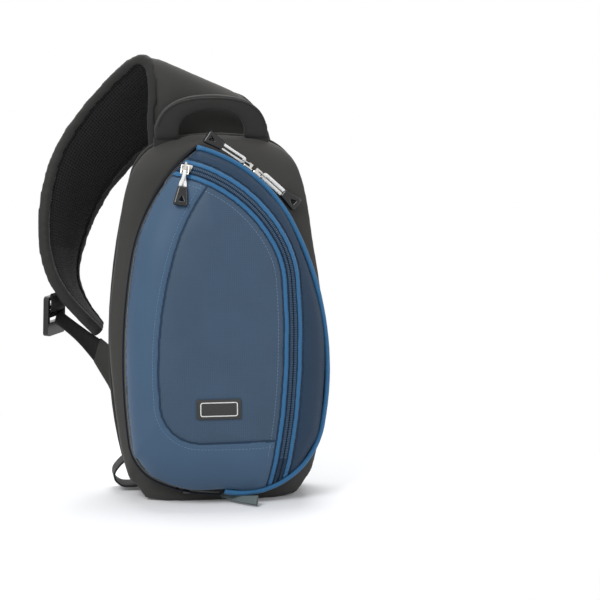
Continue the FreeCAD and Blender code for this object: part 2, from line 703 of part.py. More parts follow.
outer_edge = smooth_edge(arch(HANDLE_HALF_SPAN, HANDLE_RISE))
inner_edge = smooth_edge(arch(HANDLE_HALF_SPAN - HANDLE_LEG, HANDLE_RISE - HANDLE_THICK)[::-1])
leg_ends = [Part.makeLine(outer_edge.Vertexes[-1].Point, inner_edge.Vertexes[0].Point),
            Part.makeLine(inner_edge.Vertexes[-1].Point, outer_edge.Vertexes[0].Point)]
handle_face = Part.Face(Part.Wire([outer_edge, leg_ends[0], inner_edge, leg_ends[1]]))
carry_handle = handle_face.extrude(V(0, HANDLE_WIDTH, 0))
handle_feet = []
for leg_start in (HANDLE_CENTRE_X - HANDLE_HALF_SPAN, HANDLE_CENTRE_X + HANDLE_HALF_SPAN - HANDLE_LEG):
    carry_handle = carry_handle.fuse(handle_bar(HANDLE_WIDTH / 2, HANDLE_LEG, leg_start))
    half_foot = HANDLE_WIDTH / 2 + HANDLE_FOOT_LIP
    foot = box_between((leg_start, HANDLE_Y - half_foot, HANDLE_AXIS_Z - HANDLE_FOOT_DROP),
                       (leg_start + HANDLE_LEG, HANDLE_Y + half_foot, HANDLE_AXIS_Z - HANDLE_LIP_DROP))
    socket = handle_bar(HANDLE_WIDTH / 2 + HANDLE_CLEAR, HANDLE_LEG + 2 * SEAM_GAP, leg_start - SEAM_GAP)
    handle_feet.append(foot.cut(socket).cut(CASING_FORM))

# Sewn layers that follow two edges through space, such as the strap and its webbing


def resampled(points):
    """More stations on the smooth curve through an edge line's points."""
    marks = [float(index) for index in range(len(points))]
    curve = Part.BSplineCurve()
    curve.interpolate(Points=[V(*point) for point in points], Parameters=marks)
    count = (len(points) - 1) * STATIONS_PER_SPAN
    return [curve.value(step / STATIONS_PER_SPAN) for step in range(count + 1)]


def stations(near, far):
    """For each pair of edge points: the near one, the far one, the way across and the outward way."""
    frames = []
    for index in range(len(near)):
        before, after = max(index - 1, 0), min(index + 1, len(near) - 1)
        along = near[after].add(far[after]).sub(near[before]).sub(far[before])
        across = far[index].sub(near[index]).normalize()
        frames.append((near[index], far[index], across, across.cross(along).normalize()))
    return frames


def layered_loft(frames, low, high, near_trim=0.0, width=None):
    """Solid that follows stations: thick from low to high, trimmed in from the near edge.

    With a width it is a strip counted from the trim, else it runs to the far edge less the trim.
    """
    wires = []
    for near, far, across, outward in frames:
        start = near.add(across * near_trim)
        end = far.sub(across * near_trim) if width is None else start.add(across * width)
        corners = [start.add(outward * low), end.add(outward * low),
                   end.add(outward * high), start.add(outward * high)]
        wires.append(Part.makePolygon(corners + [corners[0]]))
    return loft(wires, True)


def flat_strip(near, far, thick):
    """Sewn strip whose middle lies between two edge lines."""
    frames = stations([V(*point) for point in near], [V(*point) for point in far])
    return layered_loft(frames, -thick / 2, thick / 2)


strap_line = stations(resampled(STRAP_NEAR), resampled(STRAP_FAR))
half_foam = STRAP_FOAM / 2
skin_low = half_foam + LAYER_GAP
skin_high = skin_low + STRAP_COVER
edge_trim = BINDING_WIDTH + SEAM_GAP
strap_foam = layered_loft(strap_line, -half_foam, half_foam, edge_trim)
strap_outer = layered_loft(strap_line, skin_low, skin_high, edge_trim)
strap_inner = layered_loft(strap_line, -skin_high, -skin_low, edge_trim)
binding_near = layered_loft(strap_line, -skin_high, skin_high, 0.0, BINDING_WIDTH)
far_first = [(far, near, across.negative(), outward) for near, far, across, outward in strap_line]
binding_far = layered_loft(far_first, -skin_high, skin_high, 0.0, BINDING_WIDTH)

# Ladder lock, flat in its own frame: x across the webbing, y along it, z through it
lock_long = V(*LOCK_ALONG).normalize()
lock_across = V(*LOCK_ACROSS).normalize()
lock_through = lock_across.cross(lock_long)
LOCK_SPOT = FreeCAD.Placement(FreeCAD.Matrix(
    lock_across.x, lock_long.x, lock_through.x, LOCK_CENTRE[0],
    lock_across.y, lock_long.y, lock_through.y, LOCK_CENTRE[1],
    lock_across.z, lock_long.z, lock_through.z, LOCK_CENTRE[2]))
slot_width = WEBBING_WIDTH + 2 * WEBBING_CLEAR
slot_length = (LOCK_LENGTH - LOCK_TONGUE - 4 * LOCK_BAR) / 3


def lock_frame():
    """Moulded frame with three bars and a curled thumb tongue at its lower end."""
    plate = box_between((-LOCK_WIDTH / 2, -LOCK_LENGTH / 2, -LOCK_THICK / 2),
                        (LOCK_WIDTH / 2, LOCK_LENGTH / 2, LOCK_THICK / 2))
    rims = [edge for edge in plate.Edges if abs(edge.tangentAt(edge.FirstParameter).z) > 0.99]
    plate = plate.makeFillet(LOCK_BAR, rims)
    start = LOCK_TONGUE - LOCK_LENGTH / 2 + LOCK_BAR
    for index in range(3):
        low = start + index * (slot_length + LOCK_BAR)
        plate = plate.cut(box_between((-slot_width / 2, low, -LOCK_THICK),
                                      (slot_width / 2, low + slot_length, LOCK_THICK)))
    return plate.removeSplitter()


ladder_lock = placed(lock_frame(), LOCK_SPOT)


def lock_point(x, y, z):
    """World point from the lock's own frame."""
    return LOCK_SPOT.multVec(V(x, y, z))


half_web = WEBBING_WIDTH / 2
over = LOCK_THICK / 2 + WEBBING_THICK / 2 + WEBBING_CLEAR

# Webbing: a short strip from the strap to the lock, and the long strip from the lock to the bag
seat = skin_high + LAYER_GAP + WEBBING_THICK / 2
sewn = strap_line[BUCKLE_SEWN[0]:BUCKLE_SEWN[1]]
sewn_near = [near.add(across * BUCKLE_TRIM).add(outward * seat) for near, _, across, outward in sewn]
sewn_far = [point.add(frame[2] * WEBBING_WIDTH) for point, frame in zip(sewn_near, sewn)]
bar_near = [lock_point(-half_web, LOCK_LENGTH / 2 + LOCK_BAR, over), lock_point(-half_web, slot_length, over)]
bar_far = [lock_point(half_web, LOCK_LENGTH / 2 + LOCK_BAR, over), lock_point(half_web, slot_length, over)]
buckle_webbing = flat_strip(sewn_near + bar_near, sewn_far + bar_far, WEBBING_THICK).cut(ladder_lock)
adjuster_webbing = flat_strip(ADJUSTER_LOWER, ADJUSTER_UPPER, WEBBING_THICK).cut(ladder_lock)
webbing_anchor = flat_strip(ANCHOR_LOWER, ANCHOR_UPPER, ANCHOR_THICK).cut(CASING_FORM)
corner_loop = flat_strip([(x, LOOP_Y - half_web, z) for x, z in LOOP_PATH],
                         [(x, LOOP_Y + half_web, z) for x, z in LOOP_PATH], WEBBING_THICK).cut(CASING_FORM)
pull_tab = flat_strip(TAB_LOWER, TAB_UPPER, TAB_THICK).cut(CASING_FORM)

# Padded mesh on the back, and the panel edge it is sewn along
pad_face = Part.Face(smooth_wire(shrunk(casing_outline, PAD_INSET), leaned(0.0, CASING_BACK_Y - PROUD), 0.0))
pad_block = pad_face.extrude(V(0, PROUD + PAD_THICK, 0))
back_pad = pad_block.cut(CASING_FORM).common(above(PAD_BOTTOM_Z)).cut(above(PAD_TOP_Z))

# Padded dividers across the hollow, free to be moved up and down
divider_room = casing_block(hollow_inset + DIVIDER_CLEAR).common(front_slab(-WORLD_REACH, -DIVIDER_FRONT_GAP))


def divider(height):
    """Shelf that keeps its clearance over the whole of its travel."""
    slab = box_between((-WORLD_REACH, -WORLD_REACH, height),
                       (WORLD_REACH, WORLD_REACH, height + DIVIDER_THICK))
    shelf = slab.common(divider_room)
    for shift in (DIVIDER_TRAVEL, -DIVIDER_TRAVEL):
        moved = divider_room.copy()
        moved.translate(V(0, 0, shift))
        shelf = shelf.common(moved)
    return shelf


os.makedirs("parts", exist_ok=True)
for shape, name in [
        (outer_casing, "outer_casing"), (casing_foam, "casing_foam"), (casing_lining, "casing_lining"),
        (back_pad, "back_pad"), (casing_zip_tape, "casing_zip_tape"), (casing_zip_row, "casing_zip_row"),
        (handle_feet[0], "handle_foot_left"), (handle_feet[1], "handle_foot_right"),
        (strap_foam, "strap_foam"), (strap_outer, "strap_outer"), (strap_inner, "strap_mesh"),
        (binding_near, "strap_binding_near"), (binding_far, "strap_binding_far"),
        (ladder_lock, "ladder_lock"), (buckle_webbing, "buckle_webbing"),
        (adjuster_webbing, "adjuster_webbing"),
        (webbing_anchor, "webbing_anchor"), (corner_loop, "corner_loop"), (pull_tab, "pull_tab"),
        (flap_foam, "flap_foam"), (flap_lining, "flap_lining"), (gusset_panel, "gusset_panel"),
        (side_panel, "side_panel"), (centre_panel, "centre_panel"), (outer_welt, "pocket_outer_welt"),
        (inner_welt, "pocket_inner_welt"), (outer_row, "pocket_outer_row"), (inner_row, "pocket_inner_row"),
        (flap_zip_tape, "flap_zip_tape"), (flap_zip_row, "flap_zip_row"), (main_piping, "main_piping"),
        (label_patch, "label_patch"), (carry_handle, "carry_handle")]:
    save(shape, name)
for height, name in zip(DIVIDER_HEIGHTS, ("lower", "upper")):
    save(divider(height), "divider_" + name)

main_slider = slider_body((row_end, SLIDER_POST), rear_high, 0.0)
for turned, hang, name in zip(MAIN_SLIDER_TURNS, MAIN_PULL_HANG_DEG, ("first", "second")):
    slider_spot = spot_on(ZIP_CHAIN[0], turned, 0.0, 0.0)
    pin_spot = slider_spot.multiply(FreeCAD.Placement(V(0, 0, plate_high + PIN_RISE), FreeCAD.Rotation()))
    save(placed(main_slider, slider_spot).fuse(placed(pull_lug(PIN_RISE), pin_spot)), "main_slider_" + name)
    save_pull(name, lifted(pin_spot, hang - (ZIP_HEADING - turned)), CORD_LENGTH, 0.0)

save(pocket_slider.fuse(placed(pull_lug(POCKET_PIN_RISE), POCKET_PIN)), "pocket_slider")
save_pull("pocket", lifted(POCKET_PIN, POCKET_PULL_LIFT_DEG), POCKET_CORD_LENGTH, 90.0)
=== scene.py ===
# %% [markdown]
# # A small camera sling bag
# The bag stands on its flat base. A padded charcoal casing carries a blue front flap with a zip all round,
# a pocket with its own zip, a handle and one wide shoulder strap. The CAD model gives every size, so this
# lesson loads it first. Each soft piece is then made again as cloth, close over its CAD solid.

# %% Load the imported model
import math

import bmesh
import bpy
from mathutils import Matrix, Vector, noise
from mathutils.bvhtree import BVHTree
from mathutils.kdtree import KDTree


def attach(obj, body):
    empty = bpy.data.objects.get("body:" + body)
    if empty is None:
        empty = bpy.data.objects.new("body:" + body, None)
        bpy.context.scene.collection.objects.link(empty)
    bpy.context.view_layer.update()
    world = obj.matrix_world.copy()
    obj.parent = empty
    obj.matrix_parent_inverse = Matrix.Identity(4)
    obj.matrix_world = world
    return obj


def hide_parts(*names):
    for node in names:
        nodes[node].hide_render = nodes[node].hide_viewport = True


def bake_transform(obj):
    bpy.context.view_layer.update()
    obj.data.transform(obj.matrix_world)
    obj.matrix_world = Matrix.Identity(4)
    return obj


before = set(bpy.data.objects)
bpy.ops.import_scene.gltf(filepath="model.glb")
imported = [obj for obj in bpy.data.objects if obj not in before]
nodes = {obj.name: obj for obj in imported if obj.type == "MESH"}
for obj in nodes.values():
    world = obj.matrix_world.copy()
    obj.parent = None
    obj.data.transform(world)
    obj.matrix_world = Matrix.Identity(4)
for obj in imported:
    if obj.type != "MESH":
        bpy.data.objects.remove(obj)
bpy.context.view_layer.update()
scene = bpy.context.scene
MM = 0.001
print("loaded", len(nodes), "pieces from the CAD model")

# %% [markdown]
# ## Camera and studio
# The picture was taken from a little to the left and a little above, with a long lens, so lines that run
# away from the viewer hardly close up. The camera stands on that line, 2.2 m from the bag.

# %% Camera
VIEW_SIDE = math.radians(-8.0)
VIEW_RISE = math.radians(9.0)
VIEW_DISTANCE = 2.2
PICTURE_PIXELS = 600
PIXEL = 0.9 * MM
ORIGIN_PIXEL = (220.0, 495.0)
SENSOR = 36.0

to_right = Vector((math.cos(VIEW_SIDE), math.sin(VIEW_SIDE), 0.0))
to_camera = Vector((math.sin(VIEW_SIDE) * math.cos(VIEW_RISE), -math.cos(VIEW_SIDE) * math.cos(VIEW_RISE),
                    math.sin(VIEW_RISE)))
upward = to_camera.cross(to_right)
middle = PICTURE_PIXELS / 2
aim = to_right * ((middle - ORIGIN_PIXEL[0]) * PIXEL) + upward * ((ORIGIN_PIXEL[1] - middle) * PIXEL)

camera_data = bpy.data.cameras.new("camera")
camera_data.sensor_width = SENSOR
camera_data.lens = SENSOR * VIEW_DISTANCE / (PICTURE_PIXELS * PIXEL)
camera = bpy.data.objects.new("camera", camera_data)
camera.location = aim + to_camera * VIEW_DISTANCE
camera.rotation_mode = "QUATERNION"
camera.rotation_quaternion = (-to_camera).to_track_quat("-Z", "Y")
scene.collection.objects.link(camera)
scene.camera = camera
print("lens of %.0f mm" % camera_data.lens)

# %% [markdown]
# The studio is white all round. Three broad soft lamps light the bag: the key from the upper left, a
# weaker one from the right, and one above and behind, which throws the bag's shadow forward. The world
# adds an even, plain light. Only for the camera and for mirror-like metal is it pure white. The floor is
# paper that glows to white away from the bag, and keeps the bag's own shadow near it.

# %% Lamps
LAMP_TARGET = Vector((0.0, 0.0, 0.18))


def area_lamp(name, place, size, watts):
    """Square soft lamp that points at the middle of the bag."""
    data = bpy.data.lights.new(name, "AREA")
    data.size = size
    data.energy = watts
    lamp = bpy.data.objects.new(name, data)
    lamp.location = place
    lamp.rotation_mode = "QUATERNION"
    lamp.rotation_quaternion = (LAMP_TARGET - Vector(place)).to_track_quat("-Z", "Y")
    scene.collection.objects.link(lamp)


area_lamp("key_lamp", (-1.0, -1.2, 1.5), 1.0, 27.0)
area_lamp("fill_lamp", (1.5, -1.0, 0.7), 1.2, 7.0)
area_lamp("top_lamp", (0.1, 0.55, 1.5), 1.0, 20.0)
scene.view_settings.view_transform = "Standard"


# %% World and floor
def seen_directly(tree):
    """Factor that is 1 for rays from the camera, from mirror-like gloss and through glass."""
    path = tree.nodes.new("ShaderNodeLightPath")
    either = tree.nodes.new("ShaderNodeMath")
    either.operation = "MAXIMUM"
    tree.links.new(path.outputs["Is Camera Ray"], either.inputs[0])
    tree.links.new(path.outputs["Is Glossy Ray"], either.inputs[1])
    both = tree.nodes.new("ShaderNodeMath")
    both.operation = "MAXIMUM"
    tree.links.new(either.outputs[0], both.inputs[0])
    tree.links.new(path.outputs["Is Transmission Ray"], both.inputs[1])
    return both.outputs[0]


WORLD_STRENGTH = 0.45
world = bpy.data.worlds.new("studio")
scene.world = world
world.use_nodes = True
tree = world.node_tree
tree.nodes.clear()
plain = tree.nodes.new("ShaderNodeBackground")
plain.inputs["Color"].default_value = (1.0, 1.0, 1.0, 1.0)
plain.inputs["Strength"].default_value = WORLD_STRENGTH
white = tree.nodes.new("ShaderNodeBackground")
white.inputs["Color"].default_value = (1.0, 1.0, 1.0, 1.0)
white.inputs["Strength"].default_value = 1.0
mix = tree.nodes.new("ShaderNodeMixShader")
tree.links.new(seen_directly(tree), mix.inputs["Fac"])
tree.links.new(plain.outputs["Background"], mix.inputs[1])
tree.links.new(white.outputs["Background"], mix.inputs[2])
tree.links.new(mix.outputs["Shader"], tree.nodes.new("ShaderNodeOutputWorld").inputs["Surface"])

SHADOW_NEAR = 0.08
SHADOW_FAR = 0.42
GLOW_NEAR = 0.05
PAPER = (0.86, 0.87, 0.89)
floor_material = bpy.data.materials.new("studio_floor")
floor_material.use_nodes = True
tree = floor_material.node_tree
tree.nodes.clear()
paper = tree.nodes.new("ShaderNodeBsdfDiffuse")
paper.inputs["Color"].default_value = (*PAPER, 1.0)
glow = tree.nodes.new("ShaderNodeEmission")
glow.inputs["Strength"].default_value = 1.0
spot = tree.nodes.new("ShaderNodeTexCoord")
distance = tree.nodes.new("ShaderNodeVectorMath")
distance.operation = "LENGTH"
fade = tree.nodes.new("ShaderNodeMapRange")
fade.inputs["From Min"].default_value = SHADOW_NEAR
fade.inputs["From Max"].default_value = SHADOW_FAR
fade.inputs["To Min"].default_value = GLOW_NEAR
tree.links.new(spot.outputs["Object"], distance.inputs[0])
tree.links.new(distance.outputs["Value"], fade.inputs["Value"])
share = tree.nodes.new("ShaderNodeMath")
share.operation = "MULTIPLY"
mix = tree.nodes.new("ShaderNodeMixShader")
tree.links.new(seen_directly(tree), share.inputs[0])
tree.links.new(fade.outputs["Result"], share.inputs[1])
tree.links.new(share.outputs[0], mix.inputs["Fac"])
tree.links.new(paper.outputs["BSDF"], mix.inputs[1])
tree.links.new(glow.outputs["Emission"], mix.inputs[2])
tree.links.new(mix.outputs["Shader"], tree.nodes.new("ShaderNodeOutputMaterial").inputs["Surface"])

FLOOR_REACH = 60.0
floor_mesh = bpy.data.meshes.new("floor")
floor_shape = bmesh.new()
bmesh.ops.create_grid(floor_shape, x_segments=1, y_segments=1, size=FLOOR_REACH)
floor_shape.to_mesh(floor_mesh)
floor_shape.free()
floor_mesh.materials.append(floor_material)
floor = bpy.data.objects.new("floor", floor_mesh)
scene.collection.objects.link(floor)
print("studio ready")

# %% [markdown]
# ## Cloth and plastics
# All finishes are made from noise and waves on the piece's own coordinates. Woven cloth gets two sets of
# fine ribs that cross, a little unevenness of colour over the whole panel, and a soft sheen at its edges.
# The bump is small, as the threads are a fifth of a millimetre thick.

# %% Finish helpers
LEAN = math.radians(8.0)
SHEEN_ROUGHNESS = 0.45
# Blender's wave texture sets 20 / (2 pi) ridges in a unit where its scale is 1
RIDGE_SCALE = 2 * math.pi / 20.0


class Finish:
    """A Principled material under construction, with the few nodes that this bag's finishes use."""

    def __init__(self, name, roughness, sheen=0.0, specular=0.5, metallic=0.0):
        self.material = bpy.data.materials.new(name)
        self.material.use_nodes = True
        self.tree = self.material.node_tree
        self.shader = self.tree.nodes["Principled BSDF"]
        self.shader.inputs["Roughness"].default_value = roughness
        self.shader.inputs["Specular IOR Level"].default_value = specular
        self.shader.inputs["Metallic"].default_value = metallic
        self.shader.inputs["Sheen Weight"].default_value = sheen
        self.shader.inputs["Sheen Roughness"].default_value = SHEEN_ROUGHNESS
        self.height = None
        self.space = None

    def node(self, kind, **values):
        made = self.tree.nodes.new(kind)
        for key, value in values.items():
            setattr(made, key, value)
        return made

    def link(self, output, socket):
        self.tree.links.new(output, socket)

    def coordinates(self, turn=(0.0, 0.0, 0.0), uv=False):
        """The piece's own coordinates, turned so that a weave lies along it."""
        source = self.node("ShaderNodeTexCoord")
        mapping = self.node("ShaderNodeMapping")
        mapping.inputs["Rotation"].default_value = turn
        self.link(source.outputs["UV" if uv else "Object"], mapping.inputs["Vector"])
        self.space = mapping.outputs["Vector"]
        return self

    def grain(self, scale, detail=2.0):
        texture = self.node("ShaderNodeTexNoise")
        texture.inputs["Scale"].default_value = scale
        texture.inputs["Detail"].default_value = detail
        self.link(self.space, texture.inputs["Vector"])
        return texture.outputs["Fac"]

    def ribs(self, direction, pitch, distortion=0.0):
        """Wave of ridges that follow each other along one direction, pitch metres apart."""
        wave = self.node("ShaderNodeTexWave", bands_direction=direction)
        wave.inputs["Scale"].default_value = RIDGE_SCALE / pitch
        wave.inputs["Distortion"].default_value = distortion
        self.link(self.space, wave.inputs["Vector"])
        return wave.outputs["Fac"]

    def combine(self, operation, first, second):
        both = self.node("ShaderNodeMath", operation=operation)
        for socket, value in zip(both.inputs, (first, second)):
            if isinstance(value, float):
                socket.default_value = value
            else:
                self.link(value, socket)
        return both.outputs[0]

    def raise_by(self, height, depth):
        """Adds a bump of a depth in metres, on top of any bump made before."""
        bump = self.node("ShaderNodeBump")
        bump.inputs["Distance"].default_value = depth
        self.link(height, bump.inputs["Height"])
        if self.height is not None:
            self.link(self.height, bump.inputs["Normal"])
        self.height = bump.outputs["Normal"]
        self.link(self.height, self.shader.inputs["Normal"])
        return self

    def colour(self, factor, low, high):
        """Colour that runs from low to high as the factor rises."""
        ramp = self.node("ShaderNodeMix", data_type="RGBA")
        ramp.inputs["A"].default_value = (*low, 1.0)
        ramp.inputs["B"].default_value = (*high, 1.0)
        self.link(factor, ramp.inputs["Factor"])
        self.link(ramp.outputs["Result"], self.shader.inputs["Base Color"])
        return self


def shade(colour, share):
    return tuple(value * share for value in colour)


CLOTH_SPECULAR = 0.22
WEAVE_WANDER = 0.6
PANEL_SHADES = 22.0
THREAD_GRAIN = 1600.0
SLOW_SHARE, WEAVE_SHARE, GRAIN_SHARE = 0.5, 0.3, 0.2


def woven(name, colour, pitch, depth, roughness, sheen, contrast=0.16, turn=(0.0, 0.0, 0.0), uv=False):
    """Plain-weave cloth: crossing ribs, a fine grain, and slow changes of colour over the panel."""
    cloth = Finish(name, roughness, sheen, CLOTH_SPECULAR).coordinates(turn, uv)
    across = cloth.ribs("X", pitch, WEAVE_WANDER)
    along = cloth.ribs("Y" if uv else "Z", pitch, WEAVE_WANDER)
    weave = cloth.combine("MULTIPLY", across, along)
    slow = cloth.grain(PANEL_SHADES)
    fine = cloth.grain(THREAD_GRAIN)
    factor = cloth.combine("ADD", cloth.combine("MULTIPLY", slow, SLOW_SHARE),
                           cloth.combine("MULTIPLY", weave, WEAVE_SHARE))
    factor = cloth.combine("ADD", factor, cloth.combine("MULTIPLY", fine, GRAIN_SHARE))
    cloth.colour(factor, shade(colour, 1 - contrast), shade(colour, 1 + contrast))
    cloth.raise_by(weave, depth).raise_by(fine, depth / 2)
    return cloth.material


# %% Cloths
CHARCOAL = (0.042, 0.041, 0.039)
LEFT_BLUE = (0.042, 0.084, 0.145)
PANEL_BLUE = (0.038, 0.068, 0.112)
GUSSET_BLUE = (0.011, 0.030, 0.061)
PIPING_BLUE = (0.024, 0.112, 0.240)
TAPE_BLUE = (0.010, 0.026, 0.055)
LINING_GREY = (0.19, 0.19, 0.19)
LEAN_TURN = (LEAN, 0.0, 0.0)

charcoal_cloth = woven("charcoal_cloth", CHARCOAL, 0.9 * MM, 0.12 * MM, 0.85, 0.08)
left_panel_cloth = woven("left_panel_cloth", LEFT_BLUE, 0.5 * MM, 0.04 * MM, 0.5, 0.1, 0.12, LEAN_TURN)
centre_panel_cloth = woven("centre_panel_cloth", PANEL_BLUE, 1.9 * MM, 0.08 * MM, 0.55, 0.1, 0.3, LEAN_TURN)
gusset_cloth = woven("gusset_cloth", GUSSET_BLUE, 0.6 * MM, 0.05 * MM, 0.6, 0.06, 0.14, LEAN_TURN)
piping_cloth = woven("piping_cloth", PIPING_BLUE, 0.6 * MM, 0.05 * MM, 0.5, 0.1, 0.12)
zip_tape_cloth = woven("zip_tape_cloth", TAPE_BLUE, 0.7 * MM, 0.1 * MM, 0.75, 0.05)
lining_cloth = woven("lining_cloth", LINING_GREY, 0.8 * MM, 0.1 * MM, 0.95, 0.4)
handle_cloth = woven("handle_cloth", (0.021, 0.021, 0.020), 0.8 * MM, 0.12 * MM, 0.85, 0.06)
webbing_cloth = woven("webbing_cloth", (0.012, 0.012, 0.013), 1.1 * MM, 0.25 * MM, 0.65, 0.05)
binding_cloth = woven("binding_cloth", (0.019, 0.019, 0.018), 0.7 * MM, 0.08 * MM, 0.7, 0.08)
seam_cloth = woven("seam_cloth", (0.006, 0.010, 0.018), 0.7 * MM, 0.08 * MM, 0.8, 0.03)
tab_cloth = woven("tab_cloth", (0.11, 0.14, 0.145), 0.6 * MM, 0.05 * MM, 0.6, 0.1)
cord_cloth = woven("cord_cloth", (0.78, 0.78, 0.77), 0.8 * MM, 0.25 * MM, 0.8, 0.2)


# %% Mesh cloth, plastic, rubber and metal
MESH_PITCH = 2.5 * MM
MESH_DEPTH = 0.5 * MM
MESH_GRAIN = 1500.0
MESH_BLACK = (0.017, 0.017, 0.018)
# Near black of the mesh's open holes: the dark layer seen through them, deepened by painted shade
PAINTED_HOLE_SHADE = (0.002, 0.002, 0.002)
SHADE_SCALE = 90.0
SKIN_GRAIN = 2600.0


def air_mesh(name, uv):
    """Open knitted mesh: rows of small holes in a matt black cloth, with painted shade in the holes."""
    cloth = Finish(name, 0.9, 0.04, 0.12).coordinates((0.0, 0.0, 0.0), uv)
    holes = cloth.combine("MULTIPLY", cloth.ribs("X", MESH_PITCH), cloth.ribs("Y" if uv else "Z", MESH_PITCH))
    # The holes are painted near black: partly the dark layer below them, partly painted shade in them
    cloth.colour(holes, MESH_BLACK, PAINTED_HOLE_SHADE)
    depth = cloth.combine("SUBTRACT", 1.0, holes)
    cloth.raise_by(depth, MESH_DEPTH).raise_by(cloth.grain(MESH_GRAIN), 0.08 * MM)
    return cloth.material


def moulded(name, colour, roughness, grain_depth, metallic=0.0, spread=0.06):
    """Moulded or cast surface with a very fine grain and a little unevenness of shade."""
    skin = Finish(name, roughness, 0.0, 0.5, metallic).coordinates()
    slow = skin.grain(SHADE_SCALE)
    skin.colour(slow, shade(colour, 1 - spread), shade(colour, 1 + spread))
    skin.raise_by(skin.grain(SKIN_GRAIN), grain_depth)
    return skin.material


strap_mesh_cloth = air_mesh("strap_mesh_cloth", True)
pad_mesh_cloth = air_mesh("pad_mesh_cloth", False)
black_plastic = moulded("black_plastic", (0.006, 0.006, 0.007), 0.22, 0.01 * MM)
label_rubber = moulded("label_rubber", (0.016, 0.016, 0.016), 0.55, 0.03 * MM)
label_rim_rubber = moulded("label_rim_rubber", (0.62, 0.62, 0.60), 0.5, 0.02 * MM)
nickel = moulded("nickel", (0.66, 0.64, 0.61), 0.2, 0.006 * MM, 1.0)
coil_plastic = moulded("coil_plastic", (0.022, 0.060, 0.115), 0.4, 0.01 * MM)
stitch_thread = moulded("stitch_thread", (0.10, 0.17, 0.27), 0.7, 0.05 * MM)
print("finishes ready:", len(bpy.data.materials))

# %% [markdown]
# ## Tools for the making
# Sewn pieces start as a copy of their CAD solid. It is rebuilt as small even squares, which rounds its
# edges as turned cloth is rounded, and can then be smoothed, crowned and creased.

# %% Copy, rebuild and finish a piece
JOIN_DISTANCE = 0.01 * MM


def copy_of(*names):
    """One bmesh with the solids of several CAD nodes, their loose triangles joined."""
    shape = bmesh.new()
    for name in names:
        shape.from_mesh(nodes[name].data)
    bmesh.ops.remove_doubles(shape, verts=shape.verts, dist=JOIN_DISTANCE)
    return shape


def settled(thing):
    """The object's mesh with its modifiers applied, as a bmesh; the object is used up."""
    graph = bpy.context.evaluated_depsgraph_get()
    mesh = bpy.data.meshes.new_from_object(thing.evaluated_get(graph), depsgraph=graph)
    shape = bmesh.new()
    shape.from_mesh(mesh)
    bpy.data.objects.remove(thing)
    bpy.data.meshes.remove(mesh)
    return shape


def scratch_object(shape):
    mesh = bpy.data.meshes.new("scratch")
    shape.to_mesh(mesh)
    shape.free()
    thing = bpy.data.objects.new("scratch", mesh)
    scene.collection.objects.link(thing)
    return thing


def smoothed(shape, rounds, factor=0.5):
    """The shape after some rounds that draw every point towards its neighbours."""
    for _ in range(rounds):
        bmesh.ops.smooth_vert(shape, verts=shape.verts, factor=factor, use_axis_x=True, use_axis_y=True,
                              use_axis_z=True)
    return shape


def rebuilt(shape, square, rounds=2):
    """Closed mesh of even squares round a shape's solids, smoothed a few rounds."""
    thing = scratch_object(shape)
    voxels = thing.modifiers.new("voxels", "REMESH")
    voxels.mode = "VOXEL"
    voxels.voxel_size = square
    return smoothed(settled(thing), rounds)


def piece(name, shape, finishes, body, *stands_for):
    """Links a finished shape as a smooth-shaded piece that rides on a body, unless body is None."""
    lowest = min(vertex.co.z for vertex in shape.verts)
    mesh = bpy.data.meshes.new(name)
    shape.to_mesh(mesh)
    shape.free()
    for finish in finishes:
        mesh.materials.append(finish)
    mesh.shade_smooth()
    made = bpy.data.objects.new(name, mesh)
    scene.collection.objects.link(made)
    if body is not None:
        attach(made, body)
    if stands_for:
        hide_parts(*stands_for)
    print("%-24s %6d faces, lowest at %.1f mm" % (name, len(mesh.polygons), lowest / MM))
    return made


def repaint(finish, *names):
    """Gives CAD nodes that stay their finish."""
    for name in names:
        for slot in nodes[name].material_slots:
            slot.link = "OBJECT"
            slot.material = finish


def surface_of(*names):
    """Search tree over the surfaces of CAD nodes."""
    shape = copy_of(*names)
    found = BVHTree.FromBMesh(shape)
    shape.free()
    return found


def waved(place, size, height):
    """Slow rise and fall of cloth at a place, in metres; the same each time."""
    return noise.noise(place / size) * height


def moved_out(shape, amount):
    """Moves each vertex along its normal by what amount(place, normal) says."""
    shape.normal_update()
    steps = [vertex.normal * amount(vertex.co, vertex.normal) for vertex in shape.verts]
    for vertex, step in zip(shape.verts, steps):
        vertex.co += step
    shape.normal_update()


# %% [markdown]
# Padded pieces are blown up a little by a cloth simulation, as their foam fills them. The rebuilt copy is
# the cloth. It is held at its sewn edges by a vertex group, gravity is off, and no point may move more
# than a cap.

# %% Cloth simulation for padding
CLOTH_STEPS = 20
CLOTH_QUALITY = 5
CLOTH_STIFFNESS = 25.0


def stuffed(shape, pressure, cap, held=None):
    """The shape after a short inflation; held(place) says which vertices stay sewn down."""
    before = [vertex.co.copy() for vertex in shape.verts]
    pinned = [index for index, place in enumerate(before) if held is not None and held(place)]
    thing = scratch_object(shape)
    cloth = thing.modifiers.new("padding", "CLOTH")
    settings = cloth.settings
    settings.use_pressure = True
    settings.uniform_pressure_force = pressure
    settings.effector_weights.gravity = 0.0
    settings.quality = CLOTH_QUALITY
    settings.tension_stiffness = CLOTH_STIFFNESS
    settings.compression_stiffness = CLOTH_STIFFNESS
    if pinned:
        group = thing.vertex_groups.new(name="sewn")
        group.add(pinned, 1.0, "REPLACE")
        settings.vertex_group_mass = "sewn"
    cloth.collision_settings.use_collision = False
    for step in range(1, CLOTH_STEPS + 1):
        scene.frame_set(step)
    blown = settled(thing)
    scene.frame_set(1)
    for vertex, start in zip(blown.verts, before):
        step = vertex.co - start
        if step.length > cap:
            vertex.co = start + step.normalized() * cap
    return blown


# %% [markdown]
# ## Lines of the front
# The zips and seams are chains of arcs in the leaning plane of the front, in millimetres. Teeth,
# stitches and piping are all set out along them, so they get one small walker.

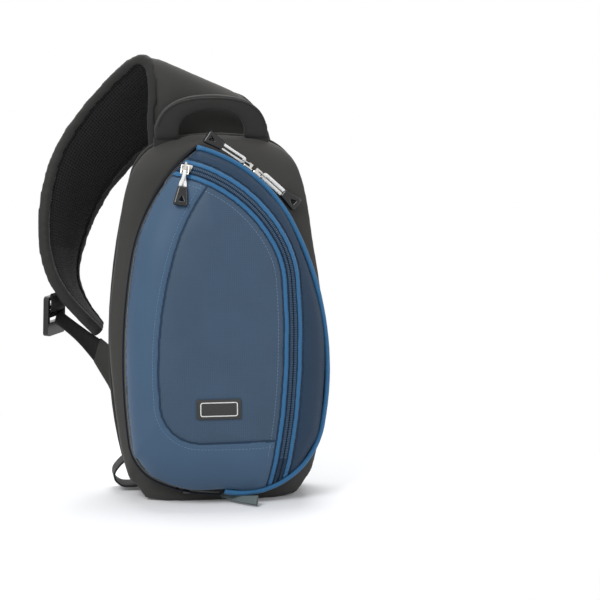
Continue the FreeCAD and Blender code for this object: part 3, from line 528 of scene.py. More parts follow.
# %% Arcs in the front plane
FRONT_Y = -28.0
ZIP_START = (-18.0, 315.5)
ZIP_HEADING = -15.0
ZIP_ARCS = [(132.0, 48.7), (278.0, 37.9), (73.9, 91.3)]
SEAM_HEADING = -141.8
SEAM_ARCS = [(163.4, 41.4), (547.9, 17.0), (44.2, 58.6), (129.9, 25.4)]
POCKET_START = (-30.4, 296.8)
POCKET_HEADING = -14.6
POCKET_ARCS = [(129.0, 48.3), (84.0, 24.4), (730.0, 12.5)]
PANEL_START = (-12.3, 278.8)
PANEL_HEADING = -127.1
PANEL_ARCS = [(187.0, 20.0), (361.6, 21.4), (35.4, 83.1), (644.0, 6.2)]

front_to_world = Matrix.Translation((0.0, FRONT_Y * MM, 0.0)) @ Matrix.Rotation(-LEAN, 4, "X")
into_bag = front_to_world.to_3x3() @ Vector((0.0, 1.0, 0.0))


def front_place(x, w, n):
    """World place from millimetres across, up and in front of the front plane."""
    return front_to_world @ (Vector((x, -n, w)) * MM)


def walk(start, heading, arcs, side, pitch, outset=0.0):
    """Places (x, w, heading) every pitch along a chain of tangent arcs, moved outward by outset."""
    x, w = start
    places = []
    spare = pitch / 2
    for radius, turn in arcs:
        inward = math.radians(heading + 90.0 * side)
        centre = (x + radius * math.cos(inward), w + radius * math.sin(inward))
        length = math.radians(turn) * (radius + outset)
        while spare < length:
            here = heading + side * turn * spare / length
            out = math.radians(here - 90.0 * side)
            places.append((centre[0] + (radius + outset) * math.cos(out),
                           centre[1] + (radius + outset) * math.sin(out), here))
            spare += pitch
        spare -= length
        heading += side * turn
        out = math.radians(heading - 90.0 * side)
        x, w = centre[0] + radius * math.cos(out), centre[1] + radius * math.sin(out)
    return places


cover_nodes = ("gusset_panel", "side_panel", "centre_panel", "pocket_outer_welt", "pocket_inner_welt",
               "pocket_outer_row", "pocket_inner_row")
cover_surface = surface_of(*cover_nodes)
FAR_AHEAD = 90.0


def on_cover(x, w, surface=None):
    """Place and outward normal of the flap's crown over one spot of the front plane."""
    hit, normal, _, _ = (surface or cover_surface).ray_cast(front_place(x, w, FAR_AHEAD), into_bag)
    if hit is None:
        return None
    return hit, (normal if normal.dot(into_bag) < 0 else -normal)


print("main zip, teeth for one row:", len(walk(ZIP_START, ZIP_HEADING, ZIP_ARCS, -1, 1.55)))

# %% [markdown]
# ## Blue front panels
# The front of the flap is three panels of blue cloth, a satin one on the left, a matt one in the middle
# and a darker gusset round the outside. Each is crowned between its seams and dips at them. How far a
# point is from a seam is measured to the cut sides of the panel's CAD solid.

# %% Crowned panels
SEAM_DIP = 0.7 * MM
CROWN = 0.9 * MM
SEAM_REACH = 6.0 * MM
SEAM_SPOTS = 2 * MM
CUT_SQUARE = 0.12
FACES_BACK = 0.2
FOLD_SIZE = 0.05


def seam_finder(node):
    """Search tree of places along a panel's sewn edges, where its solid was cut square through."""
    solid = copy_of(node)
    solid.normal_update()
    places = []
    for face in solid.faces:
        if abs(face.normal.dot(into_bag)) < CUT_SQUARE:
            for edge in face.edges:
                first, last = (vertex.co for vertex in edge.verts)
                count = 1 + int(edge.calc_length() / SEAM_SPOTS)
                places += [first.lerp(last, step / count) for step in range(count + 1)]
    solid.free()
    finder = KDTree(len(places))
    for index, place in enumerate(places):
        finder.insert(place, index)
    finder.balance()
    return finder


def sewn_panel(name, node, finish, square=1.25 * MM, crown=CROWN, folds=0.5 * MM, seed=0.0):
    """A cloth panel over its CAD solid, crowned between its seams."""
    finder = seam_finder(node)
    shape = rebuilt(copy_of(node), square, 2)

    def rise(place, normal):
        if normal.dot(into_bag) > FACES_BACK:
            return 0.0
        near = math.exp(-finder.find(place)[2] / SEAM_REACH)
        fold = waved(place + Vector((seed, 0, 0)), FOLD_SIZE, folds)
        return crown * (1 - near) - SEAM_DIP * near + fold * (1 - near)

    moved_out(shape, rise)
    return piece(name, shape, [finish], "front_flap", node)


WELT_FORM = {"square": 1.0 * MM, "crown": 1.3 * MM, "folds": 0.1 * MM}
gusset = sewn_panel("gusset_cloth_panel", "gusset_panel", gusset_cloth, seed=0.3)
left_panel = sewn_panel("left_cloth_panel", "side_panel", left_panel_cloth, folds=1.0 * MM, seed=0.7)
centre = sewn_panel("centre_cloth_panel", "centre_panel", centre_panel_cloth, folds=0.5 * MM)
outer_welt = sewn_panel("pocket_welt_outside", "pocket_outer_welt", piping_cloth, **WELT_FORM)
inner_welt = sewn_panel("pocket_welt_inside", "pocket_inner_welt", piping_cloth, **WELT_FORM)

# %% [markdown]
# At a seam the cloth is folded in, so the gap between two panels is not deep. One dark bed of cloth close
# under all the panels closes the gaps.

# %% Seam bed
BED_DEPTH = 1.1 * MM
BED_INSET = 0.4 * MM
BED_SQUARE = 1.5 * MM
bed = rebuilt(copy_of(*cover_nodes), BED_SQUARE, 2)
moved_out(bed, lambda place, normal: -BED_DEPTH if normal.dot(into_bag) < -FACES_BACK else -BED_INSET)
piece("seam_bed", bed, [gusset_cloth], "front_flap")

# %% [markdown]
# Behind the cloth lies the flap's foam with its grey lining. They are one soft slab in the open bag, so
# they are rebuilt together.

# %% Flap padding
PADDING_SQUARE = 2.5 * MM
LINING_WAVE = 0.03
padding = rebuilt(copy_of("flap_foam", "flap_lining"), PADDING_SQUARE, 2)


def lining_rise(place, normal):
    """Slow waves on the lined side of the flap's padding, and none on its front."""
    return waved(place, LINING_WAVE, 0.5 * MM) if normal.dot(into_bag) > 0 else 0.0


moved_out(padding, lining_rise)
flap_padding = piece("flap_padding", padding, [lining_cloth], "front_flap", "flap_foam", "flap_lining")

# %% [markdown]
# ## Zip teeth
# The zips are the coil kind: a plastic thread wound to one bar after another. Each bar is a small
# rounded block of a few faces. One block is bevelled once and then set out along the zip by the hundred.

# %% One tooth, many places
TOOTH_PITCH = 1.55
TOOTH_WIDTH = 0.95
TOOTH_BASE = 0.75
TOOTH_TOP = 2.5
TOOTH_LONG = 3.3
TOOTH_SHORT = 0.45
TOOTH_ROUND = 0.28
POCKET_TOOTH_LONG = 3.0
POCKET_TOOTH_BASE = -0.5
POCKET_TOOTH_TOP = 0.35
POCKET_TOOTH_ROUND = 0.25
TAPE_STEP = 2.0


def block(low, high, round_by, segments=1):
    """Rounded block between two corners, in millimetres."""
    shape = bmesh.new()
    bmesh.ops.create_cube(shape, size=1.0)
    size = Vector(high) - Vector(low)
    bmesh.ops.scale(shape, vec=size * MM, verts=shape.verts)
    bmesh.ops.translate(shape, vec=(Vector(low) + size / 2) * MM, verts=shape.verts)
    bmesh.ops.bevel(shape, geom=shape.edges[:], offset=round_by * MM, segments=segments, profile=0.5,
                    affect="EDGES", material=-1)
    return shape


def set_out(pattern, places):
    """Copies of a pattern at many placements, in one bmesh."""
    mesh = bpy.data.meshes.new("pattern")
    pattern.to_mesh(mesh)
    pattern.free()
    made = bmesh.new()
    for place in places:
        start = len(made.verts)
        made.from_mesh(mesh)
        made.verts.ensure_lookup_table()
        bmesh.ops.transform(made, matrix=place, verts=made.verts[start:])
    bpy.data.meshes.remove(mesh)
    return made


def framed(along, outward, place):
    """Placement with x along, z outward and y square to both."""
    across = outward.cross(along).normalized()
    turn = Matrix((along, across, outward)).transposed()
    return Matrix.Translation(place) @ turn.to_4x4()


def zip_frame(x, w, heading):
    """Placement on the zip line: x along it, y into the bag, z outward."""
    turn = Matrix.Rotation(-math.radians(heading), 4, "Y")
    return front_to_world @ Matrix.Translation(Vector((x, 0.0, w)) * MM) @ turn


def main_row(name, node, body, side):
    """Teeth of one side of the main zip; side is -1 on the flap and 1 on the casing."""
    low, high = sorted((side * TOOTH_SHORT, side * TOOTH_LONG))
    tooth = block((-TOOTH_WIDTH / 2, low, TOOTH_BASE), (TOOTH_WIDTH / 2, high, TOOTH_TOP), TOOTH_ROUND)
    shift = TOOTH_PITCH / 2 if side > 0 else 0.0
    places = walk(ZIP_START, ZIP_HEADING, ZIP_ARCS, -1, TOOTH_PITCH)
    turned = [zip_frame(*spot) @ Matrix.Translation((shift * MM, 0.0, 0.0)) for spot in places]
    return piece(name, set_out(tooth, turned), [coil_plastic], body, node)


main_row("zip_teeth_flap", "flap_zip_row", "front_flap", -1)
main_row("zip_teeth_casing", "casing_zip_row", "bag", 1)


def over_gap(x, w, heading):
    """Place and outward way between the two tapes of the pocket zip, from the tape on each side."""
    across = math.radians(heading + 90.0)
    step_x, step_w = TAPE_STEP * math.cos(across), TAPE_STEP * math.sin(across)
    left, right = on_cover(x - step_x, w - step_w), on_cover(x + step_x, w + step_w)
    if left is None or right is None:
        return None
    return (left[0] + right[0]) / 2, (left[1] + right[1]).normalized()


def pocket_row(name, side):
    """Teeth of one side of the pocket zip, lying on the flap's crown."""
    low, high = sorted((side * TOOTH_SHORT, side * POCKET_TOOTH_LONG))
    tooth = block((-TOOTH_WIDTH / 2, low, POCKET_TOOTH_BASE), (TOOTH_WIDTH / 2, high, POCKET_TOOTH_TOP),
                  POCKET_TOOTH_ROUND)
    line = [over_gap(*spot) for spot in walk(POCKET_START, POCKET_HEADING, POCKET_ARCS, -1, TOOTH_PITCH)]
    line = [found for found in line if found]
    spots = []
    for here, ahead in zip(line, line[1:]):
        spots.append(framed((ahead[0] - here[0]).normalized(), here[1], here[0]))
    return piece(name, set_out(tooth, spots), [coil_plastic], "front_flap")


pocket_row("pocket_teeth_outside", 1)
pocket_row("pocket_teeth_inside", -1)

# %% [markdown]
# ## Piping and stitches
# A cord in a light blue fold runs round the flap's edge. Its path is three arcs, so a circle is spun
# about each arc's centre in turn. Rows of stitches run beside the seams.

# %% Main piping
PIPING_RADIUS = 2.3
PIPING_OUT = -0.4
PIPING_AHEAD = 9.0
TUBE_SIDES = 20
DEGREES_A_STEP = 2.0
RING_JOIN = 0.05 * MM


def spun_tube(start, heading, arcs, side, radius, outset, ahead, placing):
    """Tube of one radius spun along a chain of arcs, closed at both ends and then put in its place."""
    tube = bmesh.new()
    x, w = start
    for arc_radius, turn in arcs:
        inward = math.radians(heading + 90.0 * side)
        centre = Vector((x + arc_radius * math.cos(inward), -ahead, w + arc_radius * math.sin(inward)))
        out = Vector((-math.cos(inward), 0.0, -math.sin(inward)))
        ring_place = centre + out * (arc_radius + outset)
        along = Vector((math.cos(math.radians(heading)), 0.0, math.sin(math.radians(heading))))
        ring = bmesh.ops.create_circle(tube, cap_ends=False, segments=TUBE_SIDES, radius=radius * MM,
                                       matrix=framed(Vector((0.0, 1.0, 0.0)), along, ring_place * MM))
        edges = list({edge for vertex in ring["verts"] for edge in vertex.link_edges})
        steps = max(2, round(turn / DEGREES_A_STEP))
        bmesh.ops.spin(tube, geom=ring["verts"] + edges, cent=centre * MM, axis=Vector((0.0, 1.0, 0.0)),
                       angle=-side * math.radians(turn), steps=steps, use_duplicate=False)
        heading += side * turn
        out_now = math.radians(heading - 90.0 * side)
        x, w = centre.x + arc_radius * math.cos(out_now), centre.z + arc_radius * math.sin(out_now)
    bmesh.ops.remove_doubles(tube, verts=tube.verts, dist=RING_JOIN)
    bmesh.ops.holes_fill(tube, edges=tube.edges, sides=0)
    bmesh.ops.transform(tube, matrix=placing, verts=tube.verts)
    bmesh.ops.recalc_face_normals(tube, faces=tube.faces)
    return tube


piping = spun_tube(ZIP_START, ZIP_HEADING, ZIP_ARCS, -1, PIPING_RADIUS, PIPING_OUT, PIPING_AHEAD,
                   front_to_world)
moved_out(piping, lambda place, normal: waved(place, 0.012, 0.18 * MM))
piece("main_piping_fold", piping, [piping_cloth], "front_flap", "main_piping")


# %% Stitches beside the seams
STITCH_PITCH = 3.0
STITCH_LENGTH = 2.1
STITCH_THICK = 0.5
STITCH_ROUND = 0.18
STITCH_JUMP = 3 * MM


def stitch_row(name, surface, spots, finish, body):
    """Short thread ends on a surface, one at each spot (x, w, heading) of the front plane."""
    stitch = block((-STITCH_LENGTH / 2, -STITCH_THICK / 2, -STITCH_THICK / 2),
                   (STITCH_LENGTH / 2, STITCH_THICK / 2, STITCH_THICK / 2), STITCH_ROUND)
    places = []
    for x, w, heading in spots:
        ahead = (x + math.cos(math.radians(heading)), w + math.sin(math.radians(heading)))
        here, there = on_cover(x, w, surface), on_cover(*ahead, surface)
        if here and there and (there[0] - here[0]).length < STITCH_JUMP:
            places.append(framed((there[0] - here[0]).normalized(), here[1], here[0]))
    return piece(name, set_out(stitch, places), [finish], body)


def surface_of_pieces(*things):
    """Search tree over finished pieces."""
    shape = bmesh.new()
    for thing in things:
        shape.from_mesh(thing.data)
    found = BVHTree.FromBMesh(shape)
    shape.free()
    return found


CORD_JOIN = 0.02 * MM


def round_cord(points, radius):
    """Round cord along points, as a closed mesh; a curve with a bevel makes the tube."""
    curve = bpy.data.curves.new("cord", "CURVE")
    curve.dimensions = "3D"
    curve.bevel_depth = radius
    curve.bevel_resolution = 3
    curve.use_fill_caps = True
    line = curve.splines.new("POLY")
    line.points.add(len(points) - 1)
    for knot, point in zip(line.points, points):
        knot.co = (*point, 1.0)
    thing = bpy.data.objects.new("cord", curve)
    scene.collection.objects.link(thing)
    shape = settled(thing)
    bpy.data.curves.remove(curve)
    bmesh.ops.remove_doubles(shape, verts=shape.verts, dist=CORD_JOIN)
    bmesh.ops.recalc_face_normals(shape, faces=shape.faces)
    return shape


front_surface = surface_of_pieces(gusset, left_panel, centre, outer_welt, inner_welt)
STITCH_OFF = 5.2
POCKET_STITCH_OFF = -14.0
curved_line = walk(PANEL_START, PANEL_HEADING, PANEL_ARCS, 1, STITCH_PITCH, STITCH_OFF)
stitch_row("stitches_curved_seam", front_surface, curved_line, stitch_thread, "front_flap")
pocket_line = walk(POCKET_START, POCKET_HEADING, POCKET_ARCS, -1, STITCH_PITCH, POCKET_STITCH_OFF)
stitch_row("stitches_pocket_zip", front_surface, pocket_line, stitch_thread, "front_flap")

# %% [markdown]
# ## Padded casing
# The charcoal body is cloth, foam and lining in one sewn wall. The three solids are rebuilt as one wall,
# which is then puffed out between its seams, and raised a little at its lower corners. Its faces get the
# charcoal cloth outside and the grey lining inside, by which of the two CAD surfaces they lie nearer to.

# %% Casing
CASING_SQUARE = 2.0 * MM
SHOULDER_PUFF = 10.0 * MM
SIDE_PUFF = 1.6 * MM
RIM_KEPT = 1.5 * MM
LINING_STARTS = 4.0 * MM
BACK_SEAM_Y = 38.5
SHOULDER_LOW, SHOULDER_HIGH = 0.235, 0.295
SHOULDER_EASE = 0.02
SHOULDER_SIDE = 0.3
BASE_EASE = 0.05
CASING_FOLD_SIZE = 0.07
CASING_FOLD = 1.0 * MM


def smooth_share(value, low, high):
    """0 below low, 1 above high, and an even run between them."""
    share = min(max((value - low) / (high - low), 0.0), 1.0)
    return share * share * (3 - 2 * share)


def largest_shell(shape):
    """Keeps the largest connected part of a mesh and drops bubbles left by remeshing."""
    unseen = set(shape.verts)
    shells = []
    while unseen:
        edge_of_search = [unseen.pop()]
        shell = set(edge_of_search)
        while edge_of_search:
            for edge in edge_of_search.pop().link_edges:
                for vertex in edge.verts:
                    if vertex in unseen:
                        unseen.remove(vertex)
                        shell.add(vertex)
                        edge_of_search.append(vertex)
        shells.append(shell)
    shells.sort(key=len)
    bmesh.ops.delete(shape, geom=[vertex for shell in shells[:-1] for vertex in shell], context="VERTS")
    return len(shells)


outside = surface_of("outer_casing")
inside = surface_of("casing_lining")
front_corner = front_place(0.0, 0.0, 0.0)


def behind_front(place):
    """Distance behind the plane of the front."""
    return (place - front_corner).dot(into_bag)


def casing_puff(place):
    """Step that fills out the sides and, more, the shoulders, between the front rim and the back seam."""
    behind = behind_front(place)
    depth = (BACK_SEAM_Y * MM - FRONT_Y * MM - place.z * math.tan(LEAN)) * math.cos(LEAN)
    arch = math.sin(math.pi * min(max(behind / depth, 0.0), 1.0))
    crown = arch * smooth_share(behind, RIM_KEPT, 4 * RIM_KEPT)
    top = smooth_share(place.z, SHOULDER_LOW - SHOULDER_EASE, SHOULDER_HIGH)
    ease = smooth_share(place.z, 0.0, BASE_EASE)
    fold = waved(place, CASING_FOLD_SIZE, CASING_FOLD) * ease
    outward = Vector((place.x, 0.0, max(place.z - SHOULDER_LOW, 0.0))).normalized()
    side = outward * (SIDE_PUFF * ease + SHOULDER_SIDE * SHOULDER_PUFF * top + fold)
    return (side - into_bag * SHOULDER_PUFF * top) * crown


CORNER_LIFT = 5.0 * MM
CORNER_TOP = 0.045
CORNER_FROM, CORNER_TO = 0.045, 0.09


def lift_corners(shape):
    """Raises the lower corners, which the cloth turns in a wider curve than the foam."""
    for vertex in shape.verts:
        low = 1 - smooth_share(vertex.co.z, 0.0, CORNER_TOP)
        vertex.co.z += CORNER_LIFT * low * smooth_share(abs(vertex.co.x), CORNER_FROM, CORNER_TO)


# The shoulders' wall is thinner than a square, so above the bays the lining is also laid further in
BACKING_STEPS = (0.0, 1.0, 2.0, 3.0)
BAYS_TOP, BACKING_FULL = 0.245, 0.265
lining = copy_of("casing_lining")
for level in (BAYS_TOP, BACKING_FULL):
    bmesh.ops.bisect_plane(lining, geom=lining.verts[:] + lining.edges[:] + lining.faces[:],
                           plane_co=(0.0, 0.0, level), plane_no=(0.0, 0.0, 1.0))
points_each = len(lining.verts)
wall = set_out(lining, [Matrix.Identity(4)] * len(BACKING_STEPS))
for index, vertex in enumerate(wall.verts):
    step = BACKING_STEPS[index // points_each] * MM
    vertex.co.y += step * smooth_share(vertex.co.z, BAYS_TOP, BACKING_FULL)
for node in ("outer_casing", "casing_foam"):
    wall.from_mesh(nodes[node].data)
bmesh.ops.remove_doubles(wall, verts=wall.verts, dist=JOIN_DISTANCE)
casing = rebuilt(wall, CASING_SQUARE, 2)
print("casing shells after rebuilding:", largest_shell(casing))
for face in casing.faces:
    spot = face.calc_center_median()
    lined = outside.find_nearest(spot)[3] > inside.find_nearest(spot)[3]
    face.material_index = int(lined and behind_front(spot) > LINING_STARTS)
for vertex in casing.verts:
    vertex.co += casing_puff(vertex.co)
lift_corners(smoothed(casing, 1, 0.4))
casing_wall = piece("casing_wall", casing, [charcoal_cloth, lining_cloth], "bag",
                    "outer_casing", "casing_foam", "casing_lining")

# %% [markdown]
# A thin piped seam runs round the back edge of the casing, where its side meets the back panel. It follows
# the casing's outline, which is the same chain of arcs on both sides.

# %% Back seam
CASING_TOP = 321.5
CASING_ARCS = [(230.0, 10.0), (42.5, 65.0), (623.0, 15.0), (420.0, 13.0), (60.0, 47.0)]
BACK_SEAM_RADIUS = 1.5
SEAM_LOWEST = 3.0 * MM
at_back = Matrix.Translation((0.0, BACK_SEAM_Y * MM, 0.0))
for side, heading, name in ((-1, 0.0, "back_seam_right"), (1, 180.0, "back_seam_left")):
    seam = spun_tube((0.0, CASING_TOP), heading, CASING_ARCS, side, BACK_SEAM_RADIUS, 0.2, 0.0, at_back)
    everything = seam.verts[:] + seam.edges[:] + seam.faces[:]
    bmesh.ops.bisect_plane(seam, geom=everything, plane_co=(0.0, 0.0, SEAM_LOWEST), plane_no=(0.0, 0.0, -1.0),
                           clear_outer=True)
    bmesh.ops.holes_fill(seam, edges=seam.edges, sides=0)
    lift_corners(seam)
    moved_out(seam, lambda place, normal: waved(place, 0.015, 0.15 * MM))
    piece(name, seam, [charcoal_cloth], "bag")

# %% [markdown]
# ## Back pad
# The wearer's side is a thick pad under open mesh, sewn down along a channel in its middle and two slanted
# ones, so that air can pass. The sewn lines are held while the pad is inflated.

# %% Back pad
PAD_BACK = 46.5 * MM
PAD_SQUARE = 3.2 * MM
PAD_PRESSURE = 3.0
PAD_CAP = 4.0 * MM
PAD_CROWN = 1.6 * MM
CHANNEL_HALF = 3.2 * MM
CHANNEL_WIDE = 4.5 * MM
CHANNEL_DEEP = 2.6 * MM
CHANNEL_HEIGHT = 150 * MM
CHANNEL_APART = 75 * MM
CHANNEL_FROM = 14 * MM
CHANNEL_FOOT = 20 * MM
CHANNEL_SLOPE = 0.9
CHANNEL_COSINE = 0.75


def channel_distance(place):
    """Distance to the nearest sewn channel of the back pad."""
    x, z = abs(place.x), place.z - CHANNEL_HEIGHT
    if x <= CHANNEL_FROM:
        return x
    slanted = [abs(z + drop - CHANNEL_SLOPE * (x - CHANNEL_FOOT)) * CHANNEL_COSINE
               for drop in (0.0, CHANNEL_APART)]
    return min(x, *slanted)


pad = rebuilt(copy_of("back_pad"), PAD_SQUARE, 2)
pad = stuffed(pad, PAD_PRESSURE, PAD_CAP,
              lambda place: place.y < PAD_BACK or channel_distance(place) < CHANNEL_HALF)


def pad_form(place, normal):
    """Crown of the pad between its channels; none on its front and sides."""
    if normal.y < FACES_BACK:
        return 0.0
    near = math.exp(-(channel_distance(place) / CHANNEL_WIDE) ** 2)
    return PAD_CROWN * (1 - near) - CHANNEL_DEEP * near


bmesh.ops.subdivide_edges(pad, edges=pad.edges, cuts=1, use_grid_fill=True)
moved_out(pad, pad_form)
back_pad = piece("back_pad_mesh", pad, [pad_mesh_cloth], "bag", "back_pad")

# %% [markdown]
# ## Shoulder strap
# The strap is a wide padded band. It starts as a yoke across the bag's back, climbs over a crest and
# hangs down the left side. Its outside is charcoal cloth, the wearer's side is open mesh, and a folded
# binding covers both edges. The mesh has to run along the strap, so each point gets a UV of its own, which
# is its distance along the strap and across it.

# %% Where a point lies on the strap
STRAP_NEAR = [(-56.0, 52.0, 303.0), (-57.5, 52.0, 341.0), (-57.0, 54.0, 374.0), (-63.0, 61.0, 389.5),
              (-84.0, 76.0, 376.0), (-120.0, 86.0, 335.0), (-145.0, 74.0, 293.0), (-154.5, 54.0, 247.0),
              (-152.0, 41.0, 211.0), (-139.0, 35.0, 182.0), (-104.5, 38.0, 143.5)]
STRAP_FAR = [(54.0, 52.0, 303.0), (52.0, 53.0, 318.0), (44.0, 59.0, 336.0), (28.0, 75.0, 350.0),
             (-2.0, 97.0, 340.0), (-54.0, 107.0, 302.0), (-89.0, 106.0, 266.0), (-108.0, 102.0, 235.0),
             (-120.0, 96.0, 203.0), (-120.0, 89.0, 176.0), (-100.5, 80.0, 143.0)]
SPAN_STEPS = 12
SPOTS_ACROSS = 11


def fine_line(points):
    """Many points along the smooth curve through a few, in metres."""
    curve = bpy.data.curves.new("line", "CURVE")
    curve.dimensions = "3D"
    spline = curve.splines.new("BEZIER")
    spline.bezier_points.add(len(points) - 1)
    for knot, point in zip(spline.bezier_points, points):
        knot.co = Vector(point) * MM
        knot.handle_left_type = knot.handle_right_type = "AUTO"
    curve.resolution_u = SPAN_STEPS
    thing = bpy.data.objects.new("line", curve)
    scene.collection.objects.link(thing)
    shape = settled(thing)
    bpy.data.curves.remove(curve)
    line = [vertex.co.copy() for vertex in shape.verts]
    shape.free()
    return line


class Strip:
    """Coordinates along and across a band between two edge lines."""

    def __init__(self, near, far):
        self.near, self.far = fine_line(near), fine_line(far)
        self.middles = [a.lerp(b, 0.5) for a, b in zip(self.near, self.far)]
        self.lengths = [0.0]
        for first, second in zip(self.middles, self.middles[1:]):
            self.lengths.append(self.lengths[-1] + (second - first).length)
        self.finder = KDTree(SPOTS_ACROSS * len(self.middles))
        for index, (a, b) in enumerate(zip(self.near, self.far)):
            for step in range(SPOTS_ACROSS):
                self.finder.insert(a.lerp(b, step / (SPOTS_ACROSS - 1)), index * SPOTS_ACROSS + step)
        self.finder.balance()

    def where(self, place):
        """Distance along, distance from the near edge, width there and the outward way."""
        index = self.finder.find(place)[1] // SPOTS_ACROSS
        low, high = max(index - 1, 0), min(index + 1, len(self.middles) - 1)
        across = self.far[index] - self.near[index]
        width = across.length
        across.normalize()
        along = (self.middles[high] - self.middles[low]).normalized()
        step = (place - self.middles[index]).dot(along)
        return self.lengths[index] + step, (place - self.near[index]).dot(across), width, across.cross(along)


strap = Strip(STRAP_NEAR, STRAP_FAR)
print("strap: %.0f mm along its middle" % (strap.lengths[-1] / MM))


def lay_uv(thing, strip):
    """UV of every corner: distance across and along the strip, in metres."""
    mesh = thing.data
    layer = mesh.uv_layers.new(name="weave")
    places = [strip.where(vertex.co) for vertex in mesh.vertices]
    for loop in mesh.loops:
        layer.data[loop.index].uv = (places[loop.vertex_index][1], places[loop.vertex_index][0])


# %% Strap body and its bindings
STRAP_SQUARE = 2.4 * MM
BINDING_REACH = 8.5 * MM
RIB_PATCH_START = 0.085
STRAP_PRESSURE = 2.0
STRAP_CAP = 2.5 * MM
STRAP_CROWN = 0.9 * MM
CROWN_REACH = 14 * MM
GROOVE_DEEP = 0.9 * MM
GROOVE_WIDE = 2.0 * MM
BINDING_PROUD = 0.9 * MM
BINDING_THICK = 0.7 * MM
strap_nodes = ("strap_foam", "strap_outer", "strap_mesh", "strap_binding_near", "strap_binding_far")
body = rebuilt(copy_of(*strap_nodes), STRAP_SQUARE, 3)


def from_edge(place):
    """Distance in from the nearer long edge of the strap."""
    _, across, width, _ = strap.where(place)
    return min(across, width - across)


body = stuffed(body, STRAP_PRESSURE, STRAP_CAP, lambda place: from_edge(place) < BINDING_REACH)


def strap_form(place, normal):
    """Crown of the strap between its bindings, and the groove beside each of them."""
    inward = from_edge(place) - BINDING_REACH
    groove = math.exp(-(inward / GROOVE_WIDE) ** 2)
    crown = smooth_share(inward, 0.0, CROWN_REACH)
    return STRAP_CROWN * crown - GROOVE_DEEP * groove + waved(place, FOLD_SIZE, 0.7 * MM) * crown


moved_out(body, strap_form)
edging = body.copy()
total = strap.lengths[-1]
for face in body.faces:
    along, _, _, outward = strap.where(face.calc_center_median())
    mesh_side = face.normal.dot(outward) < -0.25
    face.material_index = (2 if along > total - RIB_PATCH_START else 1) if mesh_side else 0
ribbed_cloth = woven("ribbed_cloth", (0.009, 0.009, 0.010), 2.2 * MM, 0.5 * MM, 0.8, 0.03, 0.4, uv=True)
strap_body = piece("strap_body", body, [charcoal_cloth, strap_mesh_cloth, ribbed_cloth], "bag", "strap_foam",
                   "strap_outer", "strap_mesh")
lay_uv(strap_body, strap)

for name, node, near_side in (("strap_edge_near", "strap_binding_near", True),
                              ("strap_edge_far", "strap_binding_far", False)):
    band = edging.copy()
    spare = []
    for vertex in band.verts:
        _, across, width, _ = strap.where(vertex.co)
        if (across if near_side else width - across) > BINDING_REACH:
            spare.append(vertex)
    bmesh.ops.delete(band, geom=spare, context="VERTS")
    smoothed(band, 4)
    moved_out(band, lambda place, normal: BINDING_PROUD)
    bmesh.ops.solidify(band, geom=band.faces[:], thickness=BINDING_THICK)
    bmesh.ops.recalc_face_normals(band, faces=band.faces)
    piece(name, band, [binding_cloth], "bag", node)
edging.free()

# %% [markdown]
# ## Carry handle
# The handle is a padded arch of cloth. A seam stands up as a thin ridge along its top, on the front. Its
# legs are sewn into two feet, which go down behind the casing's shoulder. Smoothing draws a rebuilt shape
# in, so it is let out again to its solid's surface before it is inflated.

# %% Handle
HANDLE_MIDDLE = (-3.0, 31.0, 325.0)
HANDLE_HALF_SPAN = 51.0
HANDLE_RISE = 33.0
HANDLE_FRONT = 7.0
HANDLE_SQUARE = 2.0 * MM
HANDLE_LET_OUT = 0.75
HANDLE_PRESSURE = 3.0
HANDLE_CAP = 1.5 * MM
ARCH_POWER = 0.8
RIDGE_DEGREES = range(8, 173, 4)
RIDGE_IN = 3.0
RIDGE_RADIUS = 0.9
FOOT_SQUARE = 1.2 * MM
FOOT_FRONT = 29.0 * MM
FOOT_PRESSED = 0.2


def let_out(shape, surface, share):
    """Moves every point a share of the way out to the nearest place on its solid."""
    for vertex in shape.verts:
        nearest = surface.find_nearest(vertex.co)[0]
        vertex.co = vertex.co.lerp(nearest, share)


handle = rebuilt(copy_of("carry_handle"), HANDLE_SQUARE, 4)
let_out(handle, surface_of("carry_handle"), HANDLE_LET_OUT)
handle = stuffed(handle, HANDLE_PRESSURE, HANDLE_CAP)
bmesh.ops.subdivide_edges(handle, edges=handle.edges, cuts=1, use_grid_fill=True)
moved_out(handle, lambda place, normal: waved(place, 0.02, 0.5 * MM))
carry_handle = piece("carry_handle_pad", smoothed(handle, 1), [handle_cloth], "handle", "carry_handle")

handle_surface = surface_of_pieces(carry_handle)
ridge = []
for turned in RIDGE_DEGREES:
    across, up = math.cos(math.radians(turned)), math.sin(math.radians(turned))
    sideways = math.copysign(abs(across) ** ARCH_POWER, across)
    place = Vector((HANDLE_MIDDLE[0] - (HANDLE_HALF_SPAN - RIDGE_IN) * sideways,
                    HANDLE_MIDDLE[1] - HANDLE_FRONT,
                    HANDLE_MIDDLE[2] + (HANDLE_RISE - RIDGE_IN) * up ** ARCH_POWER))
    ridge.append(handle_surface.find_nearest(place * MM)[0])
piece("handle_seam_ridge", round_cord(ridge, RIDGE_RADIUS * MM), [handle_cloth], "handle")

for node in ("handle_foot_left", "handle_foot_right"):
    foot = rebuilt(copy_of(node), FOOT_SQUARE, 4)
    for vertex in foot.verts:
        if vertex.co.y < FOOT_FRONT:
            vertex.co.y = FOOT_FRONT - (FOOT_FRONT - vertex.co.y) * FOOT_PRESSED
    moved_out(foot, lambda place, normal: waved(place, 0.012, 0.4 * MM))
    piece(node + "_wrap", foot, [handle_cloth], "bag", node)

# %% [markdown]
# ## Dividers
# Two soft shelves part the inside. They are foam in brushed lining, with rounded edges. They are drawn in
# a little, so that they slide free of the wall.

